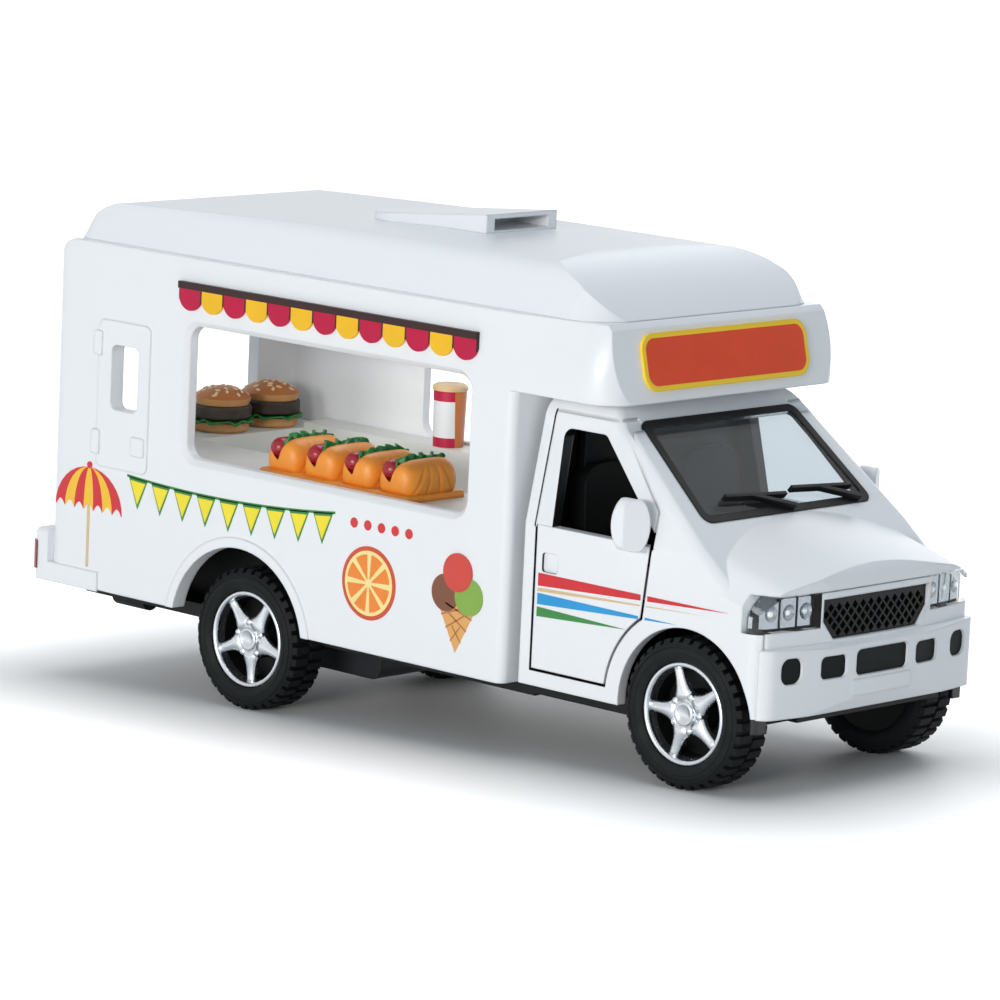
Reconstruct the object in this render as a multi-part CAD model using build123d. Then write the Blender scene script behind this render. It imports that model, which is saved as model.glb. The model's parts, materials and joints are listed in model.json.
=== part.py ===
"""Toy food truck: a cast cab with two opening doors, a moulded kitchen box and two free-running wheelsets.

The body is modelled in its own frame: x forward from the rear axle, y to the truck's left and z up from
the bottom edge of the box. The stand transform at the end tips it nose-down on its wheels.
"""
from build123d import *
import os
from math import atan, cos, degrees, hypot, radians, sin

# Stance
wheel_base = 74.7
rake = 2.63
rear_axle_drop = 2.4

# Wheels and axles
tyre_radius = 9.2
tyre_width = 6.2
tread_depth = 0.55
tread_count = 36
tread_fill = 0.62
tread_split = 0.4
wheel_inset = 4.4
rim_radius = 6.35
rim_lip = 0.65
rim_depth = 1.4
hub_boss_radius = 2.7
cap_radius = 1.45
cap_stand = 0.35
bolt_radius = 0.45
bolt_circle = 2.2
spoke_count = 5
spoke_root = 1.25
spoke_waist = 0.75
spoke_tip = 1.0
spoke_ridge = 0.2
front_spoke_angle = 31.0
rear_spoke_angle = 64.0
axle_radius = 0.9
running_gap = 0.08

# Box
box_rear = 36.95
box_front = 46.55
box_half = 22.0
box_height = 46.0
wall = 2.0
rear_corner = 3.0
rear_crown = 5.0
front_corner = 1.2
luton_overhang = 15.75
luton_height = 9.6
luton_lean = 2.3
luton_corner = 4.5
luton_pinch = 2.4
luton_edge = 0.7
rear_arch = 12.1
arch_lip = 1.3
lip_stand = 0.2
window_rear = -11.05
left_window_rear = -8.6
window_front = 38.95
window_below = 8.8
window_height = 17.3
window_corner = 2.0
window_bevel = 0.7
slot_rear = -24.95
slot_length = 5.1
slot_height = 8.6
slot_below = 13.0
back_window_half = 14.6
back_window_height = 15.0
back_window_below = 10.4

# Side door drawn on the right wall of the box
panel_rear = -27.5
panel_front = -17.7
panel_foot = 16.6
panel_below = 9.9
panel_stand = 0.2
panel_hinge = 1.6

# Rear bumper and lamps
bumper_reach = 2.1
bumper_top = 6.7
bumper_lap = 0.95
band_top = 2.4
band_length = 10.6
bumper_drop = 0.2
bumper_stand = 0.3
bumper_corner = 1.2
lamp_width = 4.6
lamp_wrap = 1.1
lamp_low = 1.2
lamp_high = 5.0
lamp_stand = 0.25

# Roof
roof_inset = 1.1
roof_rise = 6.5
roof_shoulder = 5.6
roof_lean = 2.3
roof_wall = 1.8
roof_rear_sweep = 6.5
roof_rear_drop = 1.5
roof_flat = 23.0
roof_front_run = 15.5
roof_front_corner = 6.0
roof_taper = 26
roof_rear_corner = 3.5
vent_front = 26.3
vent_length = 23.4
vent_half = 6.5
vent_rise = 2.4
vent_slot_half = 5.0
vent_slot_height = 1.5
vent_slot_depth = 6.0

# Awning valance and sign
valance_rear = -12.45
valance_front = 40.45
valance_below = 3.1
rail_height = 0.9
valance_drop = 3.7
scallop_count = 13
scallop_round = 1.6
valance_stand = 0.4
rail_stand = 0.25
sign_side = 6.6
sign_margin = 1.25
sign_corner = 2.2
sign_stand = 0.4

# Kitchen and food
kitchen_gap = 0.2
floor_thick = 1.2
counter_below = 1.1
counter_height = 6.4
rear_counter_depth = 8.8
right_counter_depth = 14.8
left_counter_depth = 5.0
left_counter_below = 0.3
tray_rear = -1.6
tray_length = 26.8
tray_margin = 1.9
tray_depth = 11.3
tray_thick = 0.9
tray_corner = 1.0
bun_count = 4
bun_half_width = 3.1
bun_half_top = 2.3
bun_length = 9.8
bun_height = 4.2
bun_end = 2.4
sausage_radius = 1.3
sausage_length = 10.2
sausage_lean = 0.9
sausage_bed = 2.8
leaf_strip = 0.45
leaf_rise = 1.1
leaf_waves = 5
burger_radius = 4.0
burger_lap = 4.4
burger_margin = 7.2
burger_pitch = 9.2
bun_low = 1.3
bun_high = 2.4
bun_edge = 0.9
patty_radius = 4.1
patty_thick = 1.9
leaf_radius = 4.2
leaf_thick = 0.5
cup_radius = 2.4
cup_height = 8.4
cup_x = -1.0

# Cab
cab_gap = 1.3
cab_step = 1.8
cab_sill = 0.3
cab_clear = 0.7
cab_wall = 1.5
belt = 20.3
cab_tumble = 3.2
cab_roof_round = 3.0
pillar_round = 1.6
screen_foot_x = 73.0
screen_foot_z = 23.4
screen_head_x = 60.3
screen_head_below = 1.8
pillar_foot_drop = 7.2
hood_front_x = 86.8
hood_front_z = 19.3
hood_crown = 1.9
hood_shoulder = 2.9
hood_shoulder_width = 4.5
nose_x = 87.6
nose_bow = 1.8
nose_corner = 2.4
bumper_nose = 1.0
fascia_low = 2.2
fascia_step = 10.6
fascia_seam_x = 85.8
front_arch = 10.4
seam = 0.12

# Lamps, grille and lower front
lamp_side = 9.8
lamp_foot = 12.5
lamp_head = 16.7
lamp_side_x = 83.2
lens_thick = 1.1
reflector_thick = 0.8
cell_count = 3
cell_radius = 1.3
cell_pitch = 2.7
cell_depth = 0.55
grille_margin = 0.4
grille_taper = 1.9
grille_head = 15.9
grille_foot = 10.9
grille_side = 13.2
grille_recess = 0.5
mesh_depth = 0.5
mesh_back = 0.5
mesh_pitch = 1.5
mesh_hole = 0.8
plate_half = 5.6
plate_foot = 3.9
plate_height = 2.0
plate_stand = 0.12

# Windscreen and wipers
screen_side_foot = 4.4
screen_side_head = 2.6
screen_thick = 1.0
screen_edge = 1.1
screen_corner = 1.4
screen_edge_stand = 0.15
wiper_length = 10.8
wiper_thick = 0.45
wiper_lift = 1.7
wiper_tilt = 4.0

# Doors
door_gap = 0.35
door_rear = 49.9
door_front_low = 67.2
door_front_high = 68.2
door_slant_foot = 11.5
door_foot = 2.5
door_arc = 12.9
door_thick = 1.5
door_bevel = 1.2
door_swing = 45
side_window_rear = 52.3
side_window_lean = -0.9
side_window_front = 58.2
side_window_slope = 1.0
side_window_below = 3.4
side_window_corner = 1.2
frame_below = 1.7
frame_front = 60.1
frame_slope = 0.878
frame_groove = 0.3
frame_groove_depth = 0.25
hinge_ahead = 0.8
hinge_inset = 1.2
hinge_pin = 0.35
knuckle_radius = 0.7
knuckle_low = 13.4
knuckle_high = 17.6
lug_height = 1.0
handle_length = 2.6
handle_height = 2.4
handle_z = 14.6
handle_depth = 0.35
mirror_low = 19.9
mirror_high = 26.2
mirror_gap = 0.7
mirror_reach = 4.0
mirror_round = 1.4

# Seats, dashboard and steering wheel
seat_y = 9.0
seat_half = 5.5
seat_length = 9.0
seat_high = 10.5
seat_back_below = 8.3
back_thick = 3.2
back_corner = 3.0
rear_trim_below = 3.2
rear_trim_half = 13.0
dash_back = 2.5
dash_depth = 7.0
dash_low = 12.6
dash_high = 20.6
interior_gap = 2.3
wheel_ring = 3.0
wheel_bar = 0.4
wheel_tilt = 50

# Chassis
plate_thick = 1.8
chassis_inset = 5.0
well_side = 1.1
well_gap = 1.6
chassis_rear = 34.0
apron_thick = 0.9
motor_front = 13.0
motor_rear = 13.0
motor_half = 8.5
motor_low = 4.6
motor_high = 7.0
bearing_length = 3.0
bearing_half = 2.2
post_wall = 1.2
pad_rear = 22.0
pad_front = 46.0
pad_half = 9.0
pad_drop = 0.6
screw_places = (-24.0, 60.0)
screw_radius = 1.6
screw_sink = 0.7
pipe_radius = 0.8
muffler_radius = 1.5
muffler_length = 9.0

# Places that follow from the sizes above
wheel_offset = box_half - wheel_inset
well_half = wheel_offset - tyre_width / 2 - well_side
chassis_half = box_half - chassis_inset
luton_reach = box_front + luton_overhang
luton_floor = box_height - luton_height
window_head = box_height - window_below
window_sill = window_head - window_height
back_window_head = box_height - back_window_below
valance_top = box_height - valance_below
sign_half = box_half - sign_side
roof_top = box_height + roof_rise
counter_top = window_sill - counter_below
floor_top = counter_top - counter_height
left_counter_top = window_sill - left_counter_below
inside_rear = -box_rear + wall + kitchen_gap
inside_front = box_front - wall - kitchen_gap
inside_half = box_half - wall - kitchen_gap
rear_counter_edge = inside_rear + rear_counter_depth
right_counter_edge = -inside_half + right_counter_depth
left_counter_edge = inside_half - left_counter_depth
tray_outer = -inside_half + tray_margin
tray_inner = tray_outer + tray_depth
burger_x = rear_counter_edge - burger_lap
burger_places = [inside_half - burger_margin - burger_pitch * index for index in range(2)]
cab_rear = box_front + cab_gap
cab_half = box_half - cab_step
cab_roof_half = cab_half - cab_tumble
cab_top = luton_floor - cab_clear
screen_head_z = cab_top - screen_head_below
screen_half_foot = cab_half - screen_side_foot
screen_half_head = cab_roof_half - screen_side_head
screen_slope = (screen_foot_x - screen_head_x) / (screen_head_z - screen_foot_z)
side_window_head = cab_top - side_window_below
lamp_inner = cab_half - lamp_side
grille_half_top = lamp_inner - grille_margin
grille_half_low = grille_half_top - grille_taper
door_slope = (door_front_high - door_front_low) / (belt - door_slant_foot)
hinge_x = door_front_high + hinge_ahead
hinge_y = cab_half - hinge_inset
interior_half = cab_half - cab_wall - interior_gap


def face(*points):
    return make_face(Polyline(*points, close=True))


def across(shape, low, high):
    """Carry a side-view face from y = low to y = high."""
    middle = (low + high) / 2
    return Pos(0, middle, 0) * extrude(Plane.XZ * shape, amount=(high - low) / 2, both=True)


def along(shape, low, high):
    """Carry a front-view face from x = low to x = high."""
    middle = (low + high) / 2
    return Pos(middle, 0, 0) * extrude(Plane.YZ * shape, amount=(high - low) / 2, both=True)


def upright(shape, low, high):
    """Carry a plan face from z = low to z = high."""
    return Pos(0, 0, low) * extrude(shape, amount=high - low)


def block(x0, x1, y0, y1, z0, z1):
    centre = Pos((x0 + x1) / 2, (y0 + y1) / 2, (z0 + z1) / 2)
    return centre * Box(x1 - x0, y1 - y0, z1 - z0)


def round_rect(x0, x1, z0, z1, radius):
    return Pos((x0 + x1) / 2, (z0 + z1) / 2) * RectangleRounded(x1 - x0, z1 - z0, radius)


def drum(radius, x, z, low, high):
    """A cylinder about a crosswise axis, from y = low to y = high."""
    return Pos(x, (low + high) / 2, z) * Rot(90, 0, 0) * Cylinder(radius, high - low)


def both_sides(shape):
    return shape + mirror(shape, about=Plane.XZ)


front_axle_x = wheel_base * cos(radians(rake))
front_axle_z = wheel_base * sin(radians(rake)) - rear_axle_drop
rear_axle_z = -rear_axle_drop


# Box
def box_plan(inset):
    rear = -box_rear + inset
    front = box_front - inset
    half = box_half - inset
    shape = face((rear, -half), (front, -half), (front, half), (rear, half))
    shape = fillet(shape.vertices().sort_by(Axis.X)[:2], rear_corner - inset / 2)
    return fillet(shape.vertices().sort_by(Axis.X)[-2:], front_corner - inset / 4)


def luton_plan(inset, z):
    """Outline of the part over the cab at a height; its front draws in more and more towards the top."""
    rear = box_front - 10
    front = luton_reach - inset
    half = box_half - inset
    pinched = half - luton_pinch * ((z - luton_floor) / luton_height) ** 3
    shape = face(
        (rear, -half), (box_front, -half), (front, -pinched),
        (front, pinched), (box_front, half), (rear, half))
    shape = fillet(shape.vertices().sort_by(Axis.X)[-2:], luton_corner - inset / 2)
    return Plane.XY.offset(z) * shape


def luton_form(inset, high):
    low = luton_floor + inset
    levels = (low, (low + high) / 2, high)
    return loft([luton_plan(inset, z).face() for z in levels])


def box_form(inset, low, high):
    """The box and the part over the cab; an inset of the wall's thickness gives the inside."""
    rear = -box_rear + inset
    front = luton_reach - inset
    above = box_height + 2
    edge_z = box_height - luton_edge
    edge_x = front - luton_lean * (edge_z - luton_floor) / luton_height
    crown = Line((rear, low), (rear, box_height - rear_crown))
    shoulder = rear + rear_crown * 0.8
    bend = RadiusArc((rear, box_height - rear_crown), (shoulder, box_height), rear_crown * 1.1)
    rest = Polyline(
        (shoulder, box_height),
        (shoulder, above),
        (edge_x - luton_edge, above),
        (edge_x - luton_edge, box_height),
        (edge_x, edge_z),
        (front, luton_floor),
        (front, low),
        (rear, low),
    )
    profile = across(make_face([crown, bend, rest]), -box_half, box_half)
    whole = upright(box_plan(inset), low, high) + luton_form(inset, high)
    return whole & profile


def window_cut(x0, x1, z0, z1, radius, outside):
    """A window through the left wall, bevelled at its outer edge."""
    hole = across(round_rect(x0, x1, z0, z1, radius), outside - wall - 1, outside + 1)
    wide = Plane.XZ.offset(-outside) * round_rect(
        x0 - window_bevel, x1 + window_bevel, z0 - window_bevel, z1 + window_bevel, radius + window_bevel)
    narrow = Plane.XZ.offset(-outside + window_bevel) * round_rect(x0, x1, z0, z1, radius)
    return hole + loft([wide.face(), narrow.face()])


def right_side(shape):
    return mirror(shape, about=Plane.XZ)


def make_side_door():
    """The door drawn in relief on the right wall, with two hinges and a handle."""
    head = box_height - panel_below
    leaf = round_rect(panel_rear, panel_front, panel_foot, head, 1.0)
    relief = across(leaf, box_half - 0.5, box_half + panel_stand)
    for z in (panel_foot + panel_hinge, head - 3 * panel_hinge):
        near = panel_hinge / 2
        hinge = round_rect(panel_rear - near, panel_rear + near, z, z + 2 * panel_hinge, 0.3)
        relief = relief + across(hinge, box_half - 0.5, box_half + 2 * panel_stand)
    handle = round_rect(panel_front - 3.0, panel_front - 0.5, counter_top, counter_top + 2.5, 0.4)
    return right_side(relief + across(handle, box_half - 0.5, box_half + 2 * panel_stand))


def make_box_body():
    shell = box_form(0, 0, box_height) - box_form(wall, -1, box_height + 1)
    lip = both_sides(drum(rear_arch + arch_lip, 0, rear_axle_z, box_half - 0.5, box_half + lip_stand))
    lip = lip - block(-box_rear, box_front, -box_half - 1, box_half + 1, -20, 0)
    shell = shell + lip + make_side_door()
    shell = shell - drum(rear_arch, 0, rear_axle_z, -box_half - 1, box_half + 1)
    left = window_cut(left_window_rear, window_front, window_sill, window_head, window_corner, box_half)
    right = window_cut(window_rear, window_front, window_sill, window_head, window_corner, box_half)
    right = right_side(right)
    slot_head = box_height - slot_below
    slot = round_rect(slot_rear, slot_rear + slot_length, slot_head - slot_height, slot_head, 1.0)
    slot = right_side(across(slot, box_half - wall - 1, box_half + 1))
    back_sill = back_window_head - back_window_height
    back = round_rect(-back_window_half, back_window_half, back_sill, back_window_head, window_corner)
    back = along(back, -box_rear - 1, -box_rear + wall + 1)
    return shell - left - right - slot - back


def bumper_plan(front, grow=0):
    rear = -box_rear - bumper_reach - grow
    half = box_half + bumper_stand + grow
    plan = face((rear, -half), (front, -half), (front, half), (rear, half))
    return fillet(plan.vertices().sort_by(Axis.X)[:2], bumper_corner + grow)


def make_rear_bumper():
    """A bar across the back, with a low band carried round the sides."""
    bar = upright(bumper_plan(-box_rear + bumper_lap), -bumper_drop, bumper_top)
    bar = fillet(bar.faces().sort_by(Axis.Z)[-1].edges().sort_by(Axis.X)[0], 0.8)
    band = upright(bumper_plan(-box_rear + band_length), -bumper_drop, band_top)
    return bar + band - upright(box_plan(0), -1, box_height)


def make_tail_lamps():
    """A lens wrapped round each corner of the rear bumper."""
    front = -box_rear - bumper_reach + lamp_wrap
    skin = bumper_plan(-box_rear + band_length, lamp_stand) - bumper_plan(-box_rear + band_length)
    skin = upright(skin, lamp_low, lamp_high)
    half = box_half + bumper_stand
    lamp = round_rect(half - lamp_width, half + lamp_width, lamp_low, lamp_high, 0.7)
    return both_sides(along(lamp, front - 10, front) & skin)


# Roof
def roof_form(inset, low):
    """The roof: a side profile, a front section and a plan outline taken together."""
    rear = -box_rear + rear_crown * 0.8 - roof_inset + inset
    front = luton_reach - luton_lean - roof_inset * 0.75 - inset
    half = box_half - roof_inset - inset
    top = roof_top - inset
    base = box_height
    deep = base - 2
    sweep = (rear + roof_rear_sweep, top - roof_rear_drop)
    flat_end = (front - roof_front_run, top)
    flat_start = (flat_end[0] - roof_flat, top)
    rear_arc = RadiusArc((rear, base), sweep, 6.8)
    front_arc = TangentArc(flat_end, (front, base), tangent=(1, 0))
    crest_line = Polyline(sweep, flat_start, flat_end)
    closing = Polyline((front, base), (front, deep), (rear, deep), (rear, base))
    profile = across(make_face([rear_arc, crest_line, front_arc, closing]), -half, half)
    shoulder = (half - roof_lean, base + roof_shoulder - 1.2 - inset)
    crest = (half - roof_lean - 2.6, top - 0.35)
    side = Polyline((half, deep), (half, base), shoulder)
    turn = TangentArc(shoulder, crest, tangent=(shoulder[0] - half, shoulder[1] - base))
    crown = ThreePointArc(crest, (0, top + 0.05), (-crest[0], crest[1]))
    turn_left = mirror(turn, about=Plane.YZ)
    side_left = mirror(side, about=Plane.YZ)
    floor = Line((-half, deep), (half, deep))
    section = along(make_face([side, turn, crown, turn_left, side_left, floor]), rear, front)
    behind = rear - roof_inset / 2
    plan = face((behind, -half), (front, -half), (front, half), (behind, half))
    plan = fillet(plan.vertices().sort_by(Axis.X)[-2:], roof_front_corner - inset / 2)
    plan = fillet(plan.vertices().sort_by(Axis.X)[:2], roof_rear_corner - inset / 2)
    return profile & section & Pos(0, 0, low) * extrude(plan, amount=top + 1 - low, taper=roof_taper)


def make_roof():
    return roof_form(0, box_height) - roof_form(roof_wall, box_height - 1)


def make_vent():
    """A wedge-shaped scoop, round at its tail and slotted in front."""
    low = roof_top - 3
    top = roof_top + vent_rise
    wedge = face(
        (vent_front - vent_length, low),
        (vent_front, low),
        (vent_front, top),
        (vent_front - vent_length, roof_top + 0.25),
    )
    straight = vent_length - vent_half
    plan = Pos(vent_front - straight, 0) * Circle(vent_half)
    plan = plan + Pos(vent_front - straight / 2, 0) * Rectangle(straight, 2 * vent_half)
    scoop = across(wedge, -vent_half, vent_half) & upright(plan, low - 1, top + 1)
    scoop = scoop - roof_form(0, box_height)
    slot_low = top - 0.6 - vent_slot_height
    slot = block(
        vent_front - vent_slot_depth, vent_front + 1, -vent_slot_half, vent_slot_half,
        slot_low, slot_low + vent_slot_height)
    return scoop - slot


# Awning valance and sign
def make_valances():
    """A rail with a row of round-ended tongues under it, on each side wall."""
    pitch = (valance_front - valance_rear) / scallop_count
    low = valance_top - valance_drop
    foot = low + scallop_round
    edges = [Polyline((valance_rear, foot), (valance_rear, valance_top), (valance_front, valance_top),
                      (valance_front, foot))]
    for index in range(scallop_count):
        start = valance_rear + pitch * index
        edges.append(ThreePointArc((start, foot), (start + pitch / 2, low), (start + pitch, foot)))
    cloth = across(make_face(edges), box_half, box_half + valance_stand)
    rail = block(
        valance_rear, valance_front, box_half, box_half + valance_stand + rail_stand,
        valance_top - rail_height, valance_top)
    return both_sides(cloth + rail)


def make_sign():
    """A rounded panel standing on the leaning face above the cab."""
    lean = Plane(
        origin=(luton_reach - luton_lean / 2, 0, luton_floor + luton_height / 2),
        x_dir=(0, 1, 0),
        z_dir=(luton_height, 0, luton_lean),
    )
    panel = RectangleRounded(2 * sign_half, luton_height - 2 * sign_margin, sign_corner)
    return extrude(lean * panel, amount=sign_stand)


# Kitchen and food
def make_kitchen():
    """Floor and three counters along the walls, moulded in one."""
    deck = block(inside_rear, inside_front, -inside_half, inside_half, floor_top - floor_thick, floor_top)
    rear_counter = block(inside_rear, rear_counter_edge, -inside_half, inside_half, floor_top, counter_top)
    right = block(
        rear_counter_edge, inside_front, -inside_half, right_counter_edge, floor_top, counter_top)
    left = block(
        rear_counter_edge, inside_front, left_counter_edge, inside_half, floor_top, left_counter_top)
    whole = deck + rear_counter + right + left
    return whole & upright(box_plan(wall + kitchen_gap), 0, box_height)


def capsule(radius, length):
    """A round-ended bar about y."""
    reach = length / 2
    straight = reach - radius
    arc = [
        RadiusArc((0, -reach), (radius, -straight), -radius),
        Line((radius, -straight), (radius, straight)),
        RadiusArc((radius, straight), (0, reach), -radius),
        Line((0, reach), (0, -reach)),
    ]
    return revolve(make_face(arc), axis=Axis.Y)


def hot_dog_places():
    """Each roll's foot on the tray."""
    pitch = tray_length / bun_count
    for index in range(bun_count):
        x = tray_rear + pitch * (index + 0.5)
        yield Pos(x, (tray_outer + tray_inner) / 2, counter_top + tray_thick)


def split_cut():
    """The split of a roll: a round bed for the sausage, open at the top and over the low rear lip."""
    slot = Pos(-sausage_lean, 0, sausage_bed) * capsule(sausage_radius, sausage_length)
    mouth = block(
        -2 * bun_half_width, -sausage_lean + sausage_radius,
        -bun_length, bun_length, sausage_bed, 2 * bun_height)
    return slot + mouth


def make_roll():
    """A loaf-shaped roll, narrower at the top and round at both ends, with its split cut."""
    low = -tray_thick / 2
    wide = bun_half_width
    bulge = (wide * 1.04, bun_height * 0.4)
    right = ThreePointArc((wide, 0), bulge, (bun_half_top, bun_height))
    left = mirror(right, about=Plane.YZ)
    crest = Line((bun_half_top, bun_height), (-bun_half_top, bun_height))
    foot = Polyline((-wide, 0), (-wide, low), (wide, low), (wide, 0))
    section = make_face([right, crest, left, foot])
    section = fillet(section.vertices().sort_by(Axis.Y)[-2:], bun_end / 2)
    reach = bun_length / 2
    side_view = round_rect(-reach, reach, low - bun_end, bun_height, bun_end)
    plan = round_rect(-1.1 * wide, 1.1 * wide, -reach, reach, bun_end)
    loaf = across(section, -reach, reach) & along(side_view, -wide * 2, wide * 2)
    return (loaf & upright(plan, low, 2 * bun_height)) - split_cut()


def make_tray():
    """The tray with its four split rolls, moulded in one."""
    outline = round_rect(tray_rear, tray_rear + tray_length, tray_outer, tray_inner, tray_corner)
    tray = upright(outline, counter_top, counter_top + tray_thick)
    roll = make_roll()
    for place in hot_dog_places():
        tray = tray + place * roll
    return tray


def make_sausages():
    bar = Pos(-sausage_lean, 0, sausage_bed) * capsule(sausage_radius, sausage_length)
    return [place * bar for place in hot_dog_places()]


def make_hot_dog_leaves():
    """A crinkled green strip lying along the split beside each sausage."""
    half = bun_length / 2 - 0.6
    low = sausage_bed + sausage_radius * 0.2
    high = low + leaf_rise
    step = 2 * half / leaf_waves
    edges = [Polyline((half, high), (half, low), (-half, low), (-half, high))]
    for index in range(leaf_waves):
        start = -half + step * index
        crest = (start + step / 2, high + step / 3)
        edges.append(ThreePointArc((start, high), crest, (start + step, high)))
    strip = along(make_face(edges), 0, leaf_strip)
    strip = Pos(-sausage_lean + sausage_radius - leaf_strip, 0, 0) * strip
    strip = strip - Pos(-sausage_lean, 0, sausage_bed) * capsule(sausage_radius, sausage_length)
    return [place * strip for place in hot_dog_places()]


def burger_bases():
    return [Pos(burger_x, y, counter_top) for y in burger_places]


def disc(radius, thick):
    return Cylinder(radius, thick, align=(Align.CENTER, Align.CENTER, Align.MIN))


def make_burger_buns():
    solids = []
    for base in burger_bases():
        lower = fillet(disc(burger_radius - 0.2, bun_low).edges().sort_by(Axis.Z)[0], 0.5)
        dome = TangentArc((0, bun_high), (burger_radius, bun_edge), tangent=(1, 0))
        foot = Polyline((burger_radius, bun_edge), (burger_radius - 0.3, 0), (0, 0), (0, bun_high))
        upper = revolve(Plane.XZ * make_face([dome, foot]), axis=Axis.Z)
        solids.append(base * lower)
        solids.append(base * Pos(0, 0, bun_low + leaf_thick + patty_thick) * upper)
    return solids


def make_burger_leaves():
    return [base * Pos(0, 0, bun_low) * disc(leaf_radius, leaf_thick) for base in burger_bases()]


def make_burger_patties():
    patty = fillet(disc(patty_radius, patty_thick).edges().filter_by(GeomType.CIRCLE), 0.4)
    return [base * Pos(0, 0, bun_low + leaf_thick) * patty for base in burger_bases()]


def make_cup():
    foot = cup_radius * 0.86
    rim = cup_height - 0.8
    outline = face(
        (0, 0), (foot, 0), (cup_radius - 0.15, rim), (cup_radius, rim),
        (cup_radius, cup_height - 0.3), (cup_radius - 0.4, cup_height), (0, cup_height))
    place = Pos(cup_x, left_counter_edge + cup_radius, left_counter_top)
    return place * revolve(Plane.XZ * outline, axis=Axis.Z)


# Cab
def cabin_form(inset):
    """The cabin: a side profile with the screen's slope, and a section leaning in above the belt."""
    shift = inset * 1.3
    top = cab_top - inset
    head = (screen_head_x - shift - screen_slope * (top - screen_head_z), top)
    foot_z = screen_foot_z - pillar_foot_drop
    foot = (screen_foot_x - shift + screen_slope * pillar_foot_drop, foot_z)
    low = cab_sill - 2 * inset
    profile = face((cab_rear + inset, low), (cab_rear + inset, top), head, foot, (foot[0], low))
    half = cab_half - inset
    roof_half = cab_roof_half - inset
    section = face(
        (-half, low), (half, low), (half, belt), (roof_half, top), (-roof_half, top), (-half, belt))
    section = fillet(section.vertices().sort_by(Axis.Y)[-2:], cab_roof_round - inset)
    return across(profile, -cab_half, cab_half) & along(section, cab_rear, nose_x)


def nose_plan(reach, inset):
    """Plan of the nose: a shallow bow with rounded corners."""
    half = cab_half - inset
    front = reach - inset
    rear = screen_foot_x - 8
    bow = ThreePointArc((front - nose_bow, half), (front, 0), (front - nose_bow, -half))
    sides = Polyline((front - nose_bow, -half), (rear, -half), (rear, half), (front - nose_bow, half))
    return fillet(make_face([bow, sides]).vertices().sort_by(Axis.X)[-2:], nose_corner - inset / 2)


def hood_form(inset):
    """The bonnet and wings: a crowned section carried down the bonnet's slope."""
    run = (hood_front_x - screen_foot_x, 0, hood_front_z - screen_foot_z)
    start = Plane(origin=(screen_foot_x, 0, screen_foot_z - inset), x_dir=(0, 1, 0), z_dir=run)
    half = cab_half - inset
    edge = half - hood_shoulder_width
    crown = ThreePointArc((-edge, -hood_crown), (0, 0), (edge, -hood_crown))
    drop = -hood_crown - hood_shoulder
    right = TangentArc((edge, -hood_crown), (half, drop), tangent=crown % 1)
    left = mirror(right, about=Plane.YZ)
    skirt = Polyline((half, drop), (half, -40), (-half, -40), (-half, drop))
    section = make_face([crown, right, skirt, left])
    bar = extrude(start * section, amount=25) + extrude(start * section, amount=-8)
    front = nose_x - inset
    profile_arc = RadiusArc((front - 0.4, hood_front_z - 2.6), (front - 3.0, hood_front_z + 1.2), -3.4)
    profile_rest = Polyline(
        (front - 3.0, hood_front_z + 1.2),
        (screen_foot_x - 8, hood_front_z + 12),
        (screen_foot_x - 8, cab_sill - 2 * inset),
        (front, cab_sill - 2 * inset),
        (front, fascia_step),
        (front - 0.4, hood_front_z - 2.6),
    )
    profile = across(make_face([profile_arc, profile_rest]), -cab_half, cab_half)
    return bar & profile & upright(nose_plan(nose_x, inset), cab_sill - 2 * inset, screen_foot_z + 3)


def bumper_form(inset):
    """The lower front, standing a little ahead of the upper nose."""
    front = nose_x + bumper_nose - inset
    profile = face(
        (screen_foot_x, fascia_low - 2 * inset),
        (front - 0.7, fascia_low - 2 * inset),
        (front, fascia_low + 1.6),
        (front, fascia_step - 1.3),
        (front - 0.35, fascia_step - 0.5),
        (front - bumper_nose - 0.3, fascia_step - inset),
        (screen_foot_x, fascia_step - inset),
    )
    plan = nose_plan(nose_x + bumper_nose, inset)
    return across(profile, -cab_half, cab_half) & upright(plan, -5, fascia_step)


def arch_cut(radius, x, z):
    return drum(radius, x, z, -cab_half - 3, cab_half + 3)


def fascia_region(gap):
    low = block(fascia_seam_x + gap, nose_x + 5, -30, 30, -5, lamp_foot - gap)
    behind = cab_half - nose_corner
    low = low + block(fascia_seam_x - 2 + gap, nose_x + 5, -behind, behind, -5, lamp_foot - gap)
    between = lamp_inner - gap
    middle = block(fascia_seam_x - 3 + gap, nose_x + 5, -between, between, -5, lamp_head - gap)
    return low + middle


def lamp_region(gap):
    region = block(lamp_side_x + gap, nose_x + 5, lamp_inner + gap, 30, lamp_foot + gap, lamp_head - gap)
    return both_sides(region)


def door_front_at(z):
    """Where the door's slanting front edge is at a height."""
    return door_front_high + door_slope * (z - belt)


def door_outline(gap):
    """Side view of the door; the gap widens it into the door's opening."""
    low = door_foot - gap
    outline = face(
        (door_rear - gap, low), (door_front_at(low) + gap, low),
        (door_front_at(belt) + gap, belt), (door_rear - gap, belt))
    return outline - Pos(front_axle_x, front_axle_z) * Circle(door_arc - gap)


def side_window():
    """Side view of the window above the door, down to the door's top edge."""
    low = belt - 0.5
    front_low = side_window_front + side_window_slope * (side_window_head - low)
    front_low = min(front_low, door_front_high + door_gap)
    turn_z = side_window_head - (front_low - side_window_front) / side_window_slope
    outline = face(
        (side_window_rear, low),
        (front_low, low),
        (front_low, turn_z + 0.02),
        (side_window_front, side_window_head),
        (side_window_rear + side_window_lean, side_window_head),
    )
    return fillet(outline.vertices().sort_by(Axis.Y)[-2:], side_window_corner)


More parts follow.
